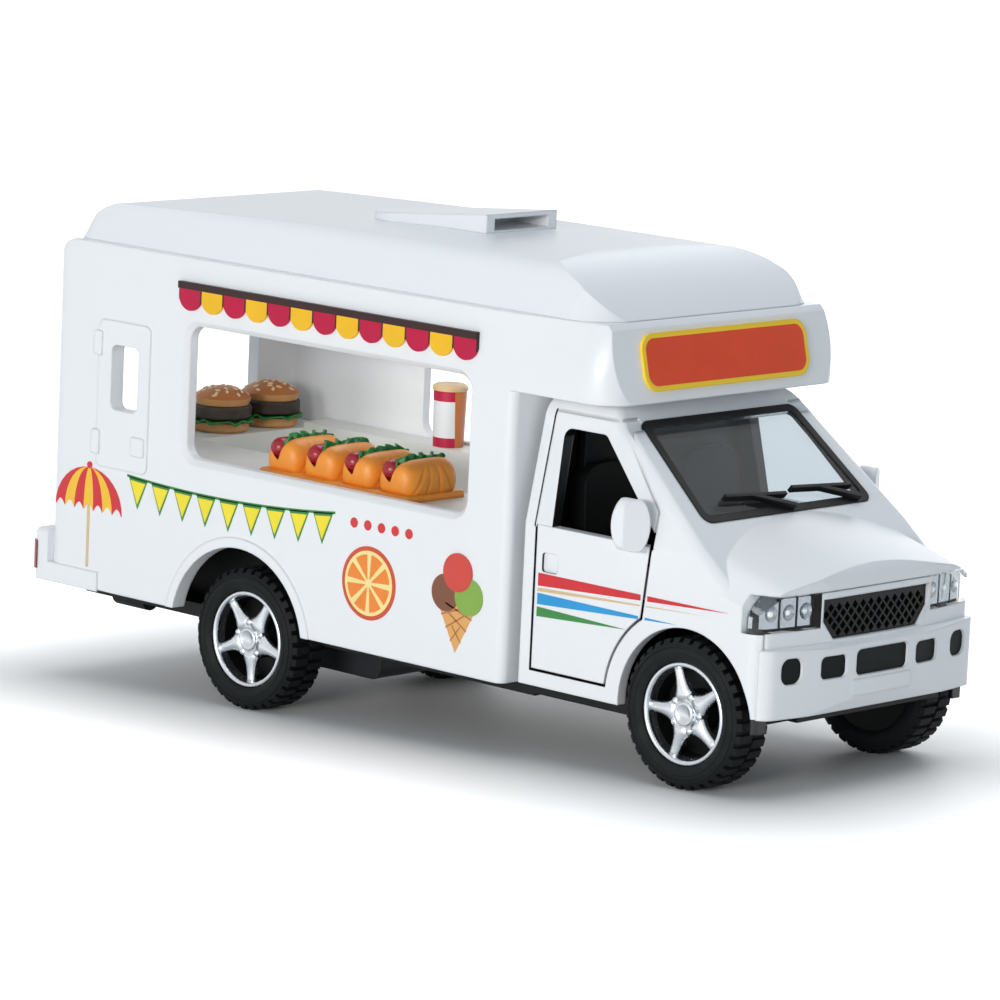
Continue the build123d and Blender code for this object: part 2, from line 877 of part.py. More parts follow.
def frame_groove_cut():
    """The fine line round the fixed frame above each door."""
    head = cab_top - frame_below
    low = belt - frame_groove
    rear = door_rear - door_gap + frame_groove / 3
    front = door_front_high + door_gap - frame_groove / 3
    turn_z = head - (front - frame_front) / frame_slope
    outline = face((rear, low), (rear, head), (frame_front, head), (front, turn_z), (front, low))
    ring = offset(outline, amount=frame_groove, kind=Kind.INTERSECTION) - outline
    ring = ring - Pos(0, low - 5) * Rectangle(400, 10)
    skin = cabin_form(0) - cabin_form(frame_groove_depth)
    return both_sides(across(ring, cab_roof_half - 3, cab_half + 1)) & skin


def screen_plane(depth):
    middle = ((screen_foot_x + screen_head_x) / 2, 0, (screen_foot_z + screen_head_z) / 2)
    rise = screen_head_z - screen_foot_z
    back = screen_foot_x - screen_head_x
    plane = Plane(origin=middle, x_dir=(0, 1, 0), z_dir=(rise, 0, back))
    return plane.offset(depth)


screen_half_slope = hypot(screen_head_z - screen_foot_z, screen_foot_x - screen_head_x) / 2


def screen_outline(inset):
    reach = screen_half_slope - inset
    foot = screen_half_foot - inset
    head = screen_half_head - inset
    shape = face((-foot, -reach), (foot, -reach), (head, reach), (-head, reach))
    return fillet(shape.vertices(), screen_corner - inset / 2)


def rounded_cabin():
    """The cabin with its screen pillars rounded."""
    cabin = cabin_form(0)
    screen = cabin.faces().sort_by(Axis((0, 0, 0), tuple(screen_plane(0).z_dir)))[-1]
    pillars = [
        edge for edge in screen.edges()
        if abs(edge.center().Y) > screen_half_head and edge.center().Z < screen_head_z - cab_roof_round]
    return fillet(pillars, pillar_round)


def make_cab_shell():
    shell = rounded_cabin() + hood_form(0)
    shell = shell - cabin_form(cab_wall) - hood_form(cab_wall)
    shell = shell - fascia_region(-seam) - lamp_region(-seam)
    shell = shell - arch_cut(front_arch, front_axle_x, front_axle_z)
    shell = shell - extrude(screen_plane(-4) * screen_outline(0), amount=8)
    opening = both_sides(across(door_outline(door_gap), cab_roof_half - 3, cab_half + 1))
    window = both_sides(across(side_window(), cab_roof_half - 4, cab_half + 1))
    shell = shell - frame_groove_cut() - opening - window
    pocket = block(
        hinge_x - 3, hinge_x + knuckle_radius + door_gap,
        hinge_y - 4, hinge_y + knuckle_radius + running_gap,
        knuckle_low - door_gap, knuckle_high + door_gap)
    shell = shell - both_sides(pocket)
    for low in (knuckle_low - door_gap - lug_height, knuckle_high + door_gap):
        lug = block(
            hinge_x - knuckle_radius, hinge_x + 2, hinge_y - knuckle_radius, hinge_y,
            low, low + lug_height)
        shell = shell + both_sides(lug)
    low = knuckle_low - door_gap - lug_height
    high = knuckle_high + door_gap + lug_height
    return shell - both_sides(Pos(hinge_x, hinge_y, (low + high) / 2) * Cylinder(hinge_pin, high - low))


def make_hinge_pins():
    low = knuckle_low - door_gap - lug_height
    high = knuckle_high + door_gap + lug_height
    return both_sides(Pos(hinge_x, hinge_y, (low + high) / 2) * Cylinder(hinge_pin, high - low))


def make_door():
    """The left door: a half-height panel on an arm that reaches into the wing to its hinge."""
    inner = cab_half - door_thick
    panel = across(door_outline(0), inner, cab_half)
    bevel = face(
        (0, cab_half), (3, cab_half), (3, inner - 1), (-door_bevel, inner - 1), (-door_bevel, inner))
    bevel = upright(bevel, -30, 30)
    panel = panel - Pos(door_front_high, 0, belt) * Rot(0, degrees(atan(door_slope)), 0) * bevel
    arm_outer = hinge_y - 0.45
    arm_inner = hinge_y - 1.2
    arm = block(hinge_x - 4.2, hinge_x, arm_inner, arm_outer, knuckle_low, knuckle_high)
    arm = arm + block(hinge_x - 4.2, hinge_x - 2.7, arm_inner, inner + 0.5, knuckle_low, knuckle_high)
    middle = (knuckle_low + knuckle_high) / 2
    arm = arm + Pos(hinge_x, hinge_y, middle) * Cylinder(knuckle_radius, knuckle_high - knuckle_low)
    door = panel + arm - Pos(hinge_x, hinge_y, middle) * Cylinder(hinge_pin + running_gap, 2 * middle)
    grip = door_rear + 1.0
    handle = round_rect(grip, grip + handle_length, handle_z, handle_z + handle_height, 0.4)
    return door - across(handle, cab_half - handle_depth, cab_half + 1)


def make_mirror():
    """The left mirror: a swept, egg-shaped housing on a foot at the door's top edge."""
    inner = cab_half + mirror_gap
    outer = cab_half + mirror_reach
    plan = face(
        (hinge_x, inner + 0.1), (hinge_x - 1.8, outer - 0.1),
        (hinge_x - 4.0, outer), (hinge_x - 3.6, inner))
    front = Pos((inner + outer) / 2, (mirror_low + mirror_high) / 2) * RectangleRounded(
        outer - inner, mirror_high - mirror_low, mirror_round)
    housing = upright(plan, mirror_low, mirror_high) & along(front, hinge_x - 10, hinge_x + 10)
    egg = scale(Sphere(1), by=(mirror_reach * 0.62, mirror_reach * 0.56, (mirror_high - mirror_low) * 0.6))
    housing = housing & Pos(hinge_x - 2.0, (inner + outer) / 2, (mirror_low + mirror_high) / 2) * egg
    foot = block(hinge_x - 3.4, hinge_x - 1.9, cab_half - door_thick / 2, inner + 1, belt, belt + 1.2)
    return housing + foot


def both_sides_plan(shape):
    return shape + mirror(shape, about=Plane.YZ)


def make_fascia():
    skin = bumper_form(0) - bumper_form(cab_wall)
    upper = hood_form(0) - hood_form(cab_wall)
    upper = upper & block(fascia_seam_x - 3, nose_x + 5, -lamp_inner, lamp_inner, fascia_step - 1, 40)
    shelf = block(fascia_seam_x, nose_x + 5, -30, 30, fascia_step - 1.2, 40)
    shelf = shelf & hood_form(0) & bumper_form(0)
    lower_lamp = (hood_form(0) - hood_form(cab_wall)) & block(0, 200, -30, 30, fascia_step - 1, lamp_foot)
    whole = (skin + upper + shelf + lower_lamp) & fascia_region(0)
    whole = whole - grille_cut(0)
    blank = round_rect(-plate_half, plate_half, plate_foot, plate_foot + plate_height, 0.4)
    blank = along(blank, nose_x, nose_x + 5) & (bumper_form(-plate_stand) - bumper_form(cab_wall / 2))
    whole = whole + blank
    centre = round_rect(-4.9, 4.9, 6.3, 9.5, 0.8)
    outer = both_sides_plan(round_rect(6.5, 11.0, 6.4, 9.2, 0.8))
    fog = both_sides_plan(round_rect(14.0, 17.4, 6.3, 9.5, 1.2))
    holes = along(centre + outer + fog, nose_x - 2, nose_x + 5)
    arch = arch_cut(front_arch, front_axle_x, front_axle_z)
    return whole - holes - arch


def grille_outline(gap):
    half = grille_half_top - gap
    low_half = grille_half_low - gap
    return face(
        (-low_half, grille_foot + gap), (low_half, grille_foot + gap),
        (half, grille_side), (half, grille_head - gap),
        (-half, grille_head - gap), (-half, grille_side))


def grille_cut(gap):
    return along(grille_outline(gap), nose_x - 6, nose_x + 4)


def mesh_places():
    """Middles of the grille's holes: rows half a pitch apart, every second row shifted half a pitch."""
    rows = int((grille_head - grille_foot) / mesh_pitch * 2)
    for row in range(1, rows):
        z = grille_foot + row * mesh_pitch / 2
        shift = row % 2 * 0.5
        reach = grille_half_low + min(1, (z - grille_foot) / (grille_side - grille_foot)) * grille_taper
        columns = int(reach / mesh_pitch - 0.5 - shift)
        for column in range(-columns - row % 2, columns + 1):
            yield Pos((column + shift) * mesh_pitch, z)


def make_grille():
    """A bowed black panel with a net of diamond holes sunk in it."""
    net = (hood_form(grille_recess) - hood_form(grille_recess + mesh_depth)) & grille_cut(seam)
    back_depth = grille_recess + mesh_depth
    back = (hood_form(back_depth) - hood_form(back_depth + mesh_back)) & grille_cut(seam)
    diamond = Rot(0, 0, 45) * Rectangle(mesh_hole, mesh_hole)
    holes = [along(place * diamond, nose_x - 3, nose_x + 1) for place in mesh_places()]
    return (net - holes) + back


def make_lamp_lenses():
    return (hood_form(0) - hood_form(lens_thick)) & lamp_region(0)


def make_lamp_reflectors():
    """The bright bowls behind each lens, three in a row."""
    slab = (hood_form(lens_thick) - hood_form(lens_thick + reflector_thick)) & lamp_region(0)
    for index in range(cell_count):
        y = lamp_inner + cell_pitch * (index + 0.6)
        x = nose_x - lens_thick - nose_bow * (y / cab_half) ** 2 + cell_radius - cell_depth
        bowl = Pos(x, y, (lamp_foot + lamp_head) / 2) * Sphere(cell_radius)
        slab = slab - both_sides(bowl)
    return slab


def make_windscreen():
    return extrude(screen_plane(-screen_thick) * screen_outline(screen_edge), amount=screen_thick)


def make_screen_edge():
    ring = screen_outline(0.02) - screen_outline(screen_edge)
    return extrude(screen_plane(-screen_thick) * ring, amount=screen_thick + screen_edge_stand)


def make_wipers():
    """Two parked wipers: a blade on the glass and an arm from the foot of the screen."""
    foot = -screen_half_slope + screen_edge
    wipers = []
    for pivot in (0.6, wiper_length + 2.2):
        blade = Rot(0, 0, -wiper_tilt) * Rectangle(wiper_length, wiper_thick)
        blade = Pos(pivot - wiper_length / 2, foot + wiper_lift) * blade
        blade = extrude(screen_plane(0) * blade, amount=2 * wiper_thick)
        middle = pivot - wiper_length / 2
        arm = face(
            (pivot, foot - 0.9), (pivot + 0.5, foot - 0.4),
            (middle, foot + wiper_lift + 0.1), (middle - 1, foot + wiper_lift - 0.1))
        arm = extrude(screen_plane(screen_edge_stand) * arm, amount=2 * wiper_thick - screen_edge_stand)
        wipers.append(blade + arm)
    return wipers


def dash_form():
    """The dashboard, stepped up under the screen."""
    front = screen_foot_x - dash_back
    rear = front - dash_depth
    outline = face(
        (rear, dash_low), (front, dash_low), (front, dash_high - 1.0),
        (front - dash_depth / 2, dash_high), (rear, dash_high - 2.1))
    return across(outline, -interior_half, interior_half)


def make_cab_interior():
    """Floor, rear trim, two round-backed seats and dashboard, moulded in one."""
    half = interior_half
    rear = cab_rear + cab_wall + 0.3
    dash_rear = screen_foot_x - dash_back - dash_depth
    floor = block(rear, dash_rear + 1, -half, half, cab_sill, cab_sill + 1.2)
    back_high = cab_top - seat_back_below
    back_wall = block(rear, rear + 1.0, -half, half, cab_sill, belt)
    trim = block(rear, rear + 1.0, -rear_trim_half, rear_trim_half, belt - 1, cab_top - rear_trim_below)
    shell = floor + back_wall + trim + dash_form()
    for y in (-seat_y, seat_y):
        cushion = block(rear, rear + seat_length, y - seat_half, y + seat_half, cab_sill, seat_high)
        back = face(
            (rear, seat_high - 0.5), (rear + back_thick, seat_high - 0.5),
            (rear + back_thick - 1, back_high), (rear, back_high))
        wide = seat_half - 0.3
        front_view = round_rect(y - wide, y + wide, seat_high - 5, back_high, back_corner)
        back = across(back, y - wide, y + wide) & along(front_view, rear, rear + back_thick)
        shell = shell + cushion + back
    post = block(dash_rear, dash_rear + 1, -well_half + 1, well_half - 1, cab_sill, dash_low + 0.4)
    return shell + post


def make_steering_wheel():
    spokes = Box(2 * wheel_ring, 0.7, 0.5) + Box(0.7, 2 * wheel_ring, 0.5)
    column = Pos(0, 0, -wheel_ring / 2) * Cylinder(1.5 * wheel_bar, wheel_ring)
    wheel = Torus(wheel_ring, wheel_bar) + spokes + column
    centre = Pos(screen_foot_x - dash_back - dash_depth - 1.7, seat_y, dash_high - 1.0)
    return centre * Rot(0, -wheel_tilt, 0) * wheel - dash_form()


# Chassis
def well_cut(x, z, radius):
    return both_sides(drum(radius, x, z, well_half, 30))


def make_exhaust():
    """A pipe and silencer moulded in relief on the base, behind the right rear wheel."""
    rear = -chassis_rear
    pipe = Pos(rear + muffler_length / 2 + 2, -chassis_half + 3, -plate_thick)
    run = pipe * Rot(0, 90, 0) * Cylinder(pipe_radius, muffler_length + 4)
    can = pipe * Rot(0, 90, 0) * Cylinder(muffler_radius, muffler_length - 3)
    return run + can


def make_chassis():
    """The base plate, with the axle bearings, the posts that carry the kitchen and the front apron."""
    apron_rear = front_axle_x + bearing_half
    plate = block(-chassis_rear, cab_rear, -chassis_half, chassis_half, -plate_thick, 0)
    plate = plate + block(
        cab_rear, apron_rear, -chassis_half, chassis_half, cab_sill - plate_thick, cab_sill)
    apron = block(
        apron_rear - 2, fascia_seam_x + 1, -well_half, well_half, fascia_low - apron_thick, fascia_low)
    posts = block(
        inside_rear + 4, inside_front, -well_half + 1, well_half - 1, -0.5, floor_top - floor_thick)
    posts = posts - block(
        inside_rear + 4 + post_wall, inside_front - post_wall,
        -well_half + 1 + post_wall, well_half - 1 - post_wall, -9, floor_top)
    bearings = block(
        front_axle_x - bearing_half, apron_rear, -well_half, well_half,
        cab_sill - plate_thick, front_axle_z + bearing_half)
    bearings = bearings - block(
        front_axle_x - bearing_half - 1, front_axle_x + bearing_half - 1.2,
        -well_half + bearing_length, well_half - bearing_length, cab_sill, 20)
    pad = block(pad_rear, pad_front, -pad_half, pad_half, -plate_thick - pad_drop, -plate_thick)
    base = plate + apron + posts + bearings + pad + make_exhaust()
    base = base - block(-motor_rear - 0.3, motor_front + 0.3, -motor_half - 0.3, motor_half + 0.3, -9, 40)
    arms = block(-bearing_half, bearing_half, -well_half, well_half, rear_axle_z - bearing_half, 0)
    arms = arms - block(-5, 5, -motor_half - 0.3, motor_half + 0.3, -9, 40)
    base = base + arms
    base = base - well_cut(0, rear_axle_z, tyre_radius + well_gap)
    base = base - well_cut(front_axle_x, front_axle_z, tyre_radius + well_gap)
    base = base - drum(axle_radius + running_gap, 0, rear_axle_z, -30, 30)
    base = base - drum(axle_radius + running_gap, front_axle_x, front_axle_z, -30, 30)
    for place in screw_bases():
        base = base - place * disc(screw_radius + 2 * running_gap, screw_sink)
    return base


def screw_bases():
    """Undersides of the base plate where the two screws go in."""
    for x in screw_places:
        yield Pos(x, 0, (cab_sill if x > cab_rear else 0) - plate_thick)


def make_base_screws():
    head = disc(screw_radius, screw_sink)
    slot = Box(2 * screw_radius, 0.5, 0.7) + Box(0.5, 2 * screw_radius, 0.7)
    return [place * (head - slot) for place in screw_bases()]


def make_motor():
    case = block(-motor_rear, motor_front, -motor_half, motor_half, rear_axle_z - motor_low, motor_high)
    case = fillet(case.edges().filter_by(Axis.Y), 1.5)
    return case - drum(axle_radius + 4 * running_gap, 0, rear_axle_z, -30, 30)


# Wheels, about y with the outer face towards +y
def make_tyre():
    """A round carcass with two staggered rows of tread blocks."""
    half = tyre_width / 2
    inner = rim_radius
    ground = tyre_radius - tread_depth
    outline = [
        Polyline((inner, -half + 0.5), (inner, half - 0.5)),
        ThreePointArc((inner, half - 0.5), (inner + 1.0, half), (ground, half - 0.4)),
        Line((ground, half - 0.4), (ground, -half + 0.4)),
        ThreePointArc((ground, -half + 0.4), (inner + 1.0, -half), (inner, -half + 0.5)),
    ]
    carcass = revolve(make_face(outline), axis=Axis.Y)
    lug = face(
        (ground - 0.3, tread_split / 2), (tyre_radius, tread_split / 2),
        (tyre_radius, half - 0.75), (ground, half - 0.3), (ground - 0.3, half - 0.4))
    pitch = 360 / tread_count
    lug = revolve(lug, axis=Axis.Y, revolution_arc=pitch * tread_fill)
    blocks = []
    for index in range(tread_count):
        blocks.append(Rot(0, pitch * index, 0) * lug)
        blocks.append(Rot(0, pitch * (index + 0.5), 0) * mirror(lug, about=Plane.XZ))
    return carcass + blocks


def make_hub():
    """Black wheel core: barrel, back plate and boss."""
    half = tyre_width / 2 - 0.5
    barrel = rim_radius - rim_lip - 0.3
    outline = face(
        (axle_radius, -half), (rim_radius, -half), (rim_radius, half - rim_depth),
        (barrel, half - rim_depth), (barrel, -half + 1.4),
        (hub_boss_radius, -half + 1.4), (hub_boss_radius, half - rim_depth),
        (axle_radius, half - rim_depth))
    return revolve(outline, axis=Axis.Y)


def spokes_face(angle, scale):
    """The star of spokes, narrow at the waist; the scale thins it to the ridge along each spoke."""
    end = rim_radius - rim_lip / 2
    waist = end * 0.55
    shape = Circle(hub_boss_radius * (1 if scale == 1 else 0.3))
    for index in range(spoke_count):
        spoke = face(
            (0, -spoke_root * scale), (waist, -spoke_waist * scale), (end, -spoke_tip * scale),
            (end, spoke_tip * scale), (waist, spoke_waist * scale), (0, spoke_root * scale))
        shape = shape + Rot(0, 0, angle + index * 360 / spoke_count) * spoke
    return shape


def make_rim(angle):
    """Bright insert: lip ring, star of ridged spokes, bolts and centre cap."""
    half = tyre_width / 2 - 0.5
    low = half - rim_depth
    ring = extrude(Circle(rim_radius) - Circle(rim_radius - rim_lip), amount=rim_depth)
    thick = rim_depth - 0.5
    star = extrude(spokes_face(angle, 1), amount=thick)
    ridge = extrude(spokes_face(angle, 0.4), amount=thick + spoke_ridge)
    cap = disc(cap_radius, thick + cap_stand)
    cap = fillet(cap.edges().sort_by(Axis.Z)[-1], 0.3)
    rim = ring + star + ridge + cap
    for index in range(spoke_count):
        turn = angle + (index + 0.5) * 360 / spoke_count
        rim = rim + Rot(0, 0, turn) * Pos(bolt_circle, 0, 0) * disc(bolt_radius, thick + spoke_ridge)
    return Rot(-90, 0, 0) * Pos(0, 0, low) * (rim & Cylinder(rim_radius, 40))


def make_axle():
    length = 2 * (wheel_offset + tyre_width / 2 - 0.5 - rim_depth)
    return Rot(90, 0, 0) * Cylinder(axle_radius, length)


# Placing: the body stands nose-down on its wheels, centred on the origin
tilt = radians(rake)
rear_reach = -(box_rear + bumper_reach + lamp_stand) * cos(tilt) + (lamp_low - rear_axle_z) * sin(tilt)
front_reach = (nose_x + bumper_nose) * cos(tilt) + (fascia_step - 1.3 - rear_axle_z) * sin(tilt)
origin_x = -(rear_reach + front_reach) / 2
stand = Pos(origin_x, 0, tyre_radius) * Rot(0, rake, 0) * Pos(0, 0, rear_axle_drop)

left_door = make_door()
left_mirror = make_mirror()

nodes = {
    "chassis": make_chassis(),
    "base_screws": make_base_screws(),
    "pull_back_motor": make_motor(),
    "box_body": make_box_body(),
    "rear_bumper": make_rear_bumper(),
    "tail_lamps": make_tail_lamps(),
    "roof": make_roof(),
    "roof_vent": make_vent(),
    "valances": make_valances(),
    "sign_panel": make_sign(),
    "kitchen": make_kitchen(),
    "hot_dog_tray": make_tray(),
    "sausages": make_sausages(),
    "hot_dog_leaves": make_hot_dog_leaves(),
    "burger_buns": make_burger_buns(),
    "burger_patties": make_burger_patties(),
    "burger_leaves": make_burger_leaves(),
    "drink_cup": make_cup(),
    "cab_shell": make_cab_shell(),
    "front_fascia": make_fascia(),
    "grille": make_grille(),
    "headlamp_lenses": make_lamp_lenses(),
    "headlamp_reflectors": make_lamp_reflectors(),
    "windscreen": make_windscreen(),
    "windscreen_edge": make_screen_edge(),
    "wipers": make_wipers(),
    "cab_interior": make_cab_interior(),
    "steering_wheel": make_steering_wheel(),
    "hinge_pins": make_hinge_pins(),
    "door_left": left_door,
    "mirror_left": left_mirror,
    "door_right": mirror(left_door, about=Plane.XZ),
    "mirror_right": mirror(left_mirror, about=Plane.XZ),
}

placed = {}
for name, shape in nodes.items():
    pieces = shape if isinstance(shape, list) else [shape]
    placed[name] = Compound([solid for piece in pieces for solid in (stand * piece).solids()])

wheelsets = (("rear", 0, rear_spoke_angle), ("front", wheel_base, front_spoke_angle))
for end, station, angle in wheelsets:
    centre = Pos(origin_x + station, 0, tyre_radius)
    placed["axle_" + end] = centre * make_axle()
    for piece, shape in (("tyre", make_tyre()), ("hub", make_hub()), ("rim", make_rim(angle))):
        left = Pos(0, wheel_offset, 0) * shape
        placed[piece + "_" + end + "_left"] = centre * left
        placed[piece + "_" + end + "_right"] = centre * mirror(left, about=Plane.XZ)

os.makedirs("parts", exist_ok=True)
for name, shape in placed.items():
    export_step(shape, "parts/" + name + ".step")
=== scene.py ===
"""Looks of a toy food truck: paint, plastics, play food, printed designs, camera and studio.

Pieces are drawn in millimetres in the truck's body frame (x forward from the rear axle, y left, z up from
the bottom edge of the box) and carried into the frame of the solids by BODY.
"""

import json
import math
import random

import bmesh
import bpy
from mathutils import Matrix, Vector


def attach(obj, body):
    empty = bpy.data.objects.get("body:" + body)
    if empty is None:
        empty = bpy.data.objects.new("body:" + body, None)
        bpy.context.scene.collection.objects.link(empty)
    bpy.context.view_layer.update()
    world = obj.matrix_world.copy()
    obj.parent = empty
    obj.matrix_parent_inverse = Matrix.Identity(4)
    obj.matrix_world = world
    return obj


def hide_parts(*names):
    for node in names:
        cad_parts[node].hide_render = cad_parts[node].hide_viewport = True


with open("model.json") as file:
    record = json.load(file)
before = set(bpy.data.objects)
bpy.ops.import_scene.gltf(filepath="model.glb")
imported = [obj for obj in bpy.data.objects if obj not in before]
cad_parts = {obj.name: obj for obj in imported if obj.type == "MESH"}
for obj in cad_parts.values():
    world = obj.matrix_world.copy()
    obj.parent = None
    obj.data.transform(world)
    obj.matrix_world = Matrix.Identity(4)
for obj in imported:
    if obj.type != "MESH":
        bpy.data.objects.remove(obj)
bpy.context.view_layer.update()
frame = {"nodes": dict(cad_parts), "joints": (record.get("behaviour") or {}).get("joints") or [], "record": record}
nodes = frame["nodes"]

# Body frame
RAKE = math.radians(2.63)
AXLE_DROP = 2.4
MM = 0.001
joint_at = {joint["name"]: Vector(joint["pos_m"]) for joint in frame["joints"]}
BODY = (
    Matrix.Translation(joint_at["rear_wheelset_spin"])
    @ Matrix.Rotation(RAKE, 4, "Y")
    @ Matrix.Translation((0, 0, AXLE_DROP * MM))
    @ Matrix.Scale(MM, 4)
)
FORWARD = (math.cos(RAKE), 0, -math.sin(RAKE))
LEFTWARD = (0, 1, 0)
UPWARD = (math.sin(RAKE), 0, math.cos(RAKE))
SIDES = (("right", -1), ("left", 1))
ENDS = ("front", "rear")

# Sizes of the truck that the looks follow, in millimetres
BOX_HALF = 22.0
CAB_MIDDLE = (60.0, 0.0, 18.0)
CAB_HALF = 20.2
BELT = 20.3
DOOR_REAR = 49.9
DOOR_FRONT = 68.2
DOOR_SLOPE = 0.1136
NOSE = 87.6
NOSE_BOW = 1.8
BUMPER_NOSE = 1.0
FASCIA_LOW = 2.2
WING_FOOT_REAR = 78.0
SIGN_MIDDLE = (61.15, 0.0, 41.2)
SIGN_LEAN = math.atan2(2.3, 9.6)
SIGN_HALF = (15.4, 3.55)
SIGN_CORNER = 2.2
SIGN_BORDER = 0.62
LAMP_INNER = 10.4
LAMP_CELL = 2.7
LAMP_MIDDLE = 14.6
LAMP_HALF = 2.1
LAMP_DEPTH = 1.6
LAMP_RIM = 0.3
LAMP_EDGE = 0.35
VALANCE_REAR = -12.45
VALANCE_FRONT = 40.45
VALANCE_COUNT = 13
VALANCE_TOP = 42.9
RAIL_HEIGHT = 0.9
COUNTER_TOP = 18.8
LEFT_COUNTER_TOP = 19.6
CUP_PLACE = (-1.0, 17.2)
CUP_HEIGHT = 8.4
CUP_LOW_BAND = 1.3
CUP_HIGH_BAND = 2.2
CUP_LID = 0.85
CUP_SIDE = (0.73, 0.683, 0)
CUP_SIDE_START = 0.9
TYRE_HALF_WIDTH = 3.1
WHEEL_OFFSET = 17.6

# Colours as they look in daylight, 0 to 255
WHITE = (236, 238, 240)
BLACK = (14, 16, 17)
# Grey plastic darkened nearly to black: painted shade for the underside between the wheels
GREY_WITH_PAINTED_SHADE = (44, 46, 50)
KITCHEN = (226, 227, 222)
TYRE = (15, 20, 22)
# Painted shade for the hollows behind the bumper openings
OPENING_SHADE = (14, 21, 22)
CHROME = (204, 209, 214)
STEEL = (180, 181, 184)
LENS = (246, 249, 250)
SCREEN = (176, 186, 192)
LAMP_RED = (120, 14, 24)
LAMP_DIM = (150, 155, 161)
LAMP_BRIGHT = (170, 175, 181)
LAMP_BLACK = (20, 21, 23)
BULB = (232, 236, 238)
CRIMSON = (188, 22, 66)
YELLOW = (248, 192, 40)
RAIL_BROWN = (50, 28, 26)
SIGN_RED = (232, 76, 40)
SIGN_GOLD = (255, 212, 52)
TAN = (216, 186, 140)
CUP_ORANGE = (206, 116, 52)
BUN = (186, 112, 58)
BUN_UNDER = (206, 150, 92)
SEED = (238, 208, 160)
PATTY = (50, 40, 32)
LEAF = (28, 118, 52)
ROLL = (240, 150, 52)
SAUSAGE = (158, 14, 38)
FLOOR_DIM = (246, 244, 241)
FLOOR_BRIGHT = (249, 247, 244)
INKS = {
    "crimson": (206, 26, 36),
    "red": (212, 40, 44),
    "rust": (204, 70, 30),
    "rose": (206, 62, 48),
    "orange": (238, 132, 36),
    "gold": YELLOW,
    "lemon": (250, 224, 40),
    "cream": (250, 226, 150),
    "tan": TAN,
    "waffle": (222, 164, 92),
    "waffle_dark": (178, 112, 54),
    "brown": (120, 66, 36),
    "leaf": (128, 168, 62),
    "green": (40, 132, 52),
    "blue": (16, 150, 212),
}


def linear(colour):
    """A colour as shaders take it."""
    def channel(value):
        value = value / 255
        return value / 12.92 if value <= 0.04045 else ((value + 0.055) / 1.055) ** 2.4
    return tuple(channel(value) for value in colour) + (1.0,)


def shade(colour, factor):
    """A lighter or darker colour."""
    return tuple(min(255, value * factor) for value in colour)


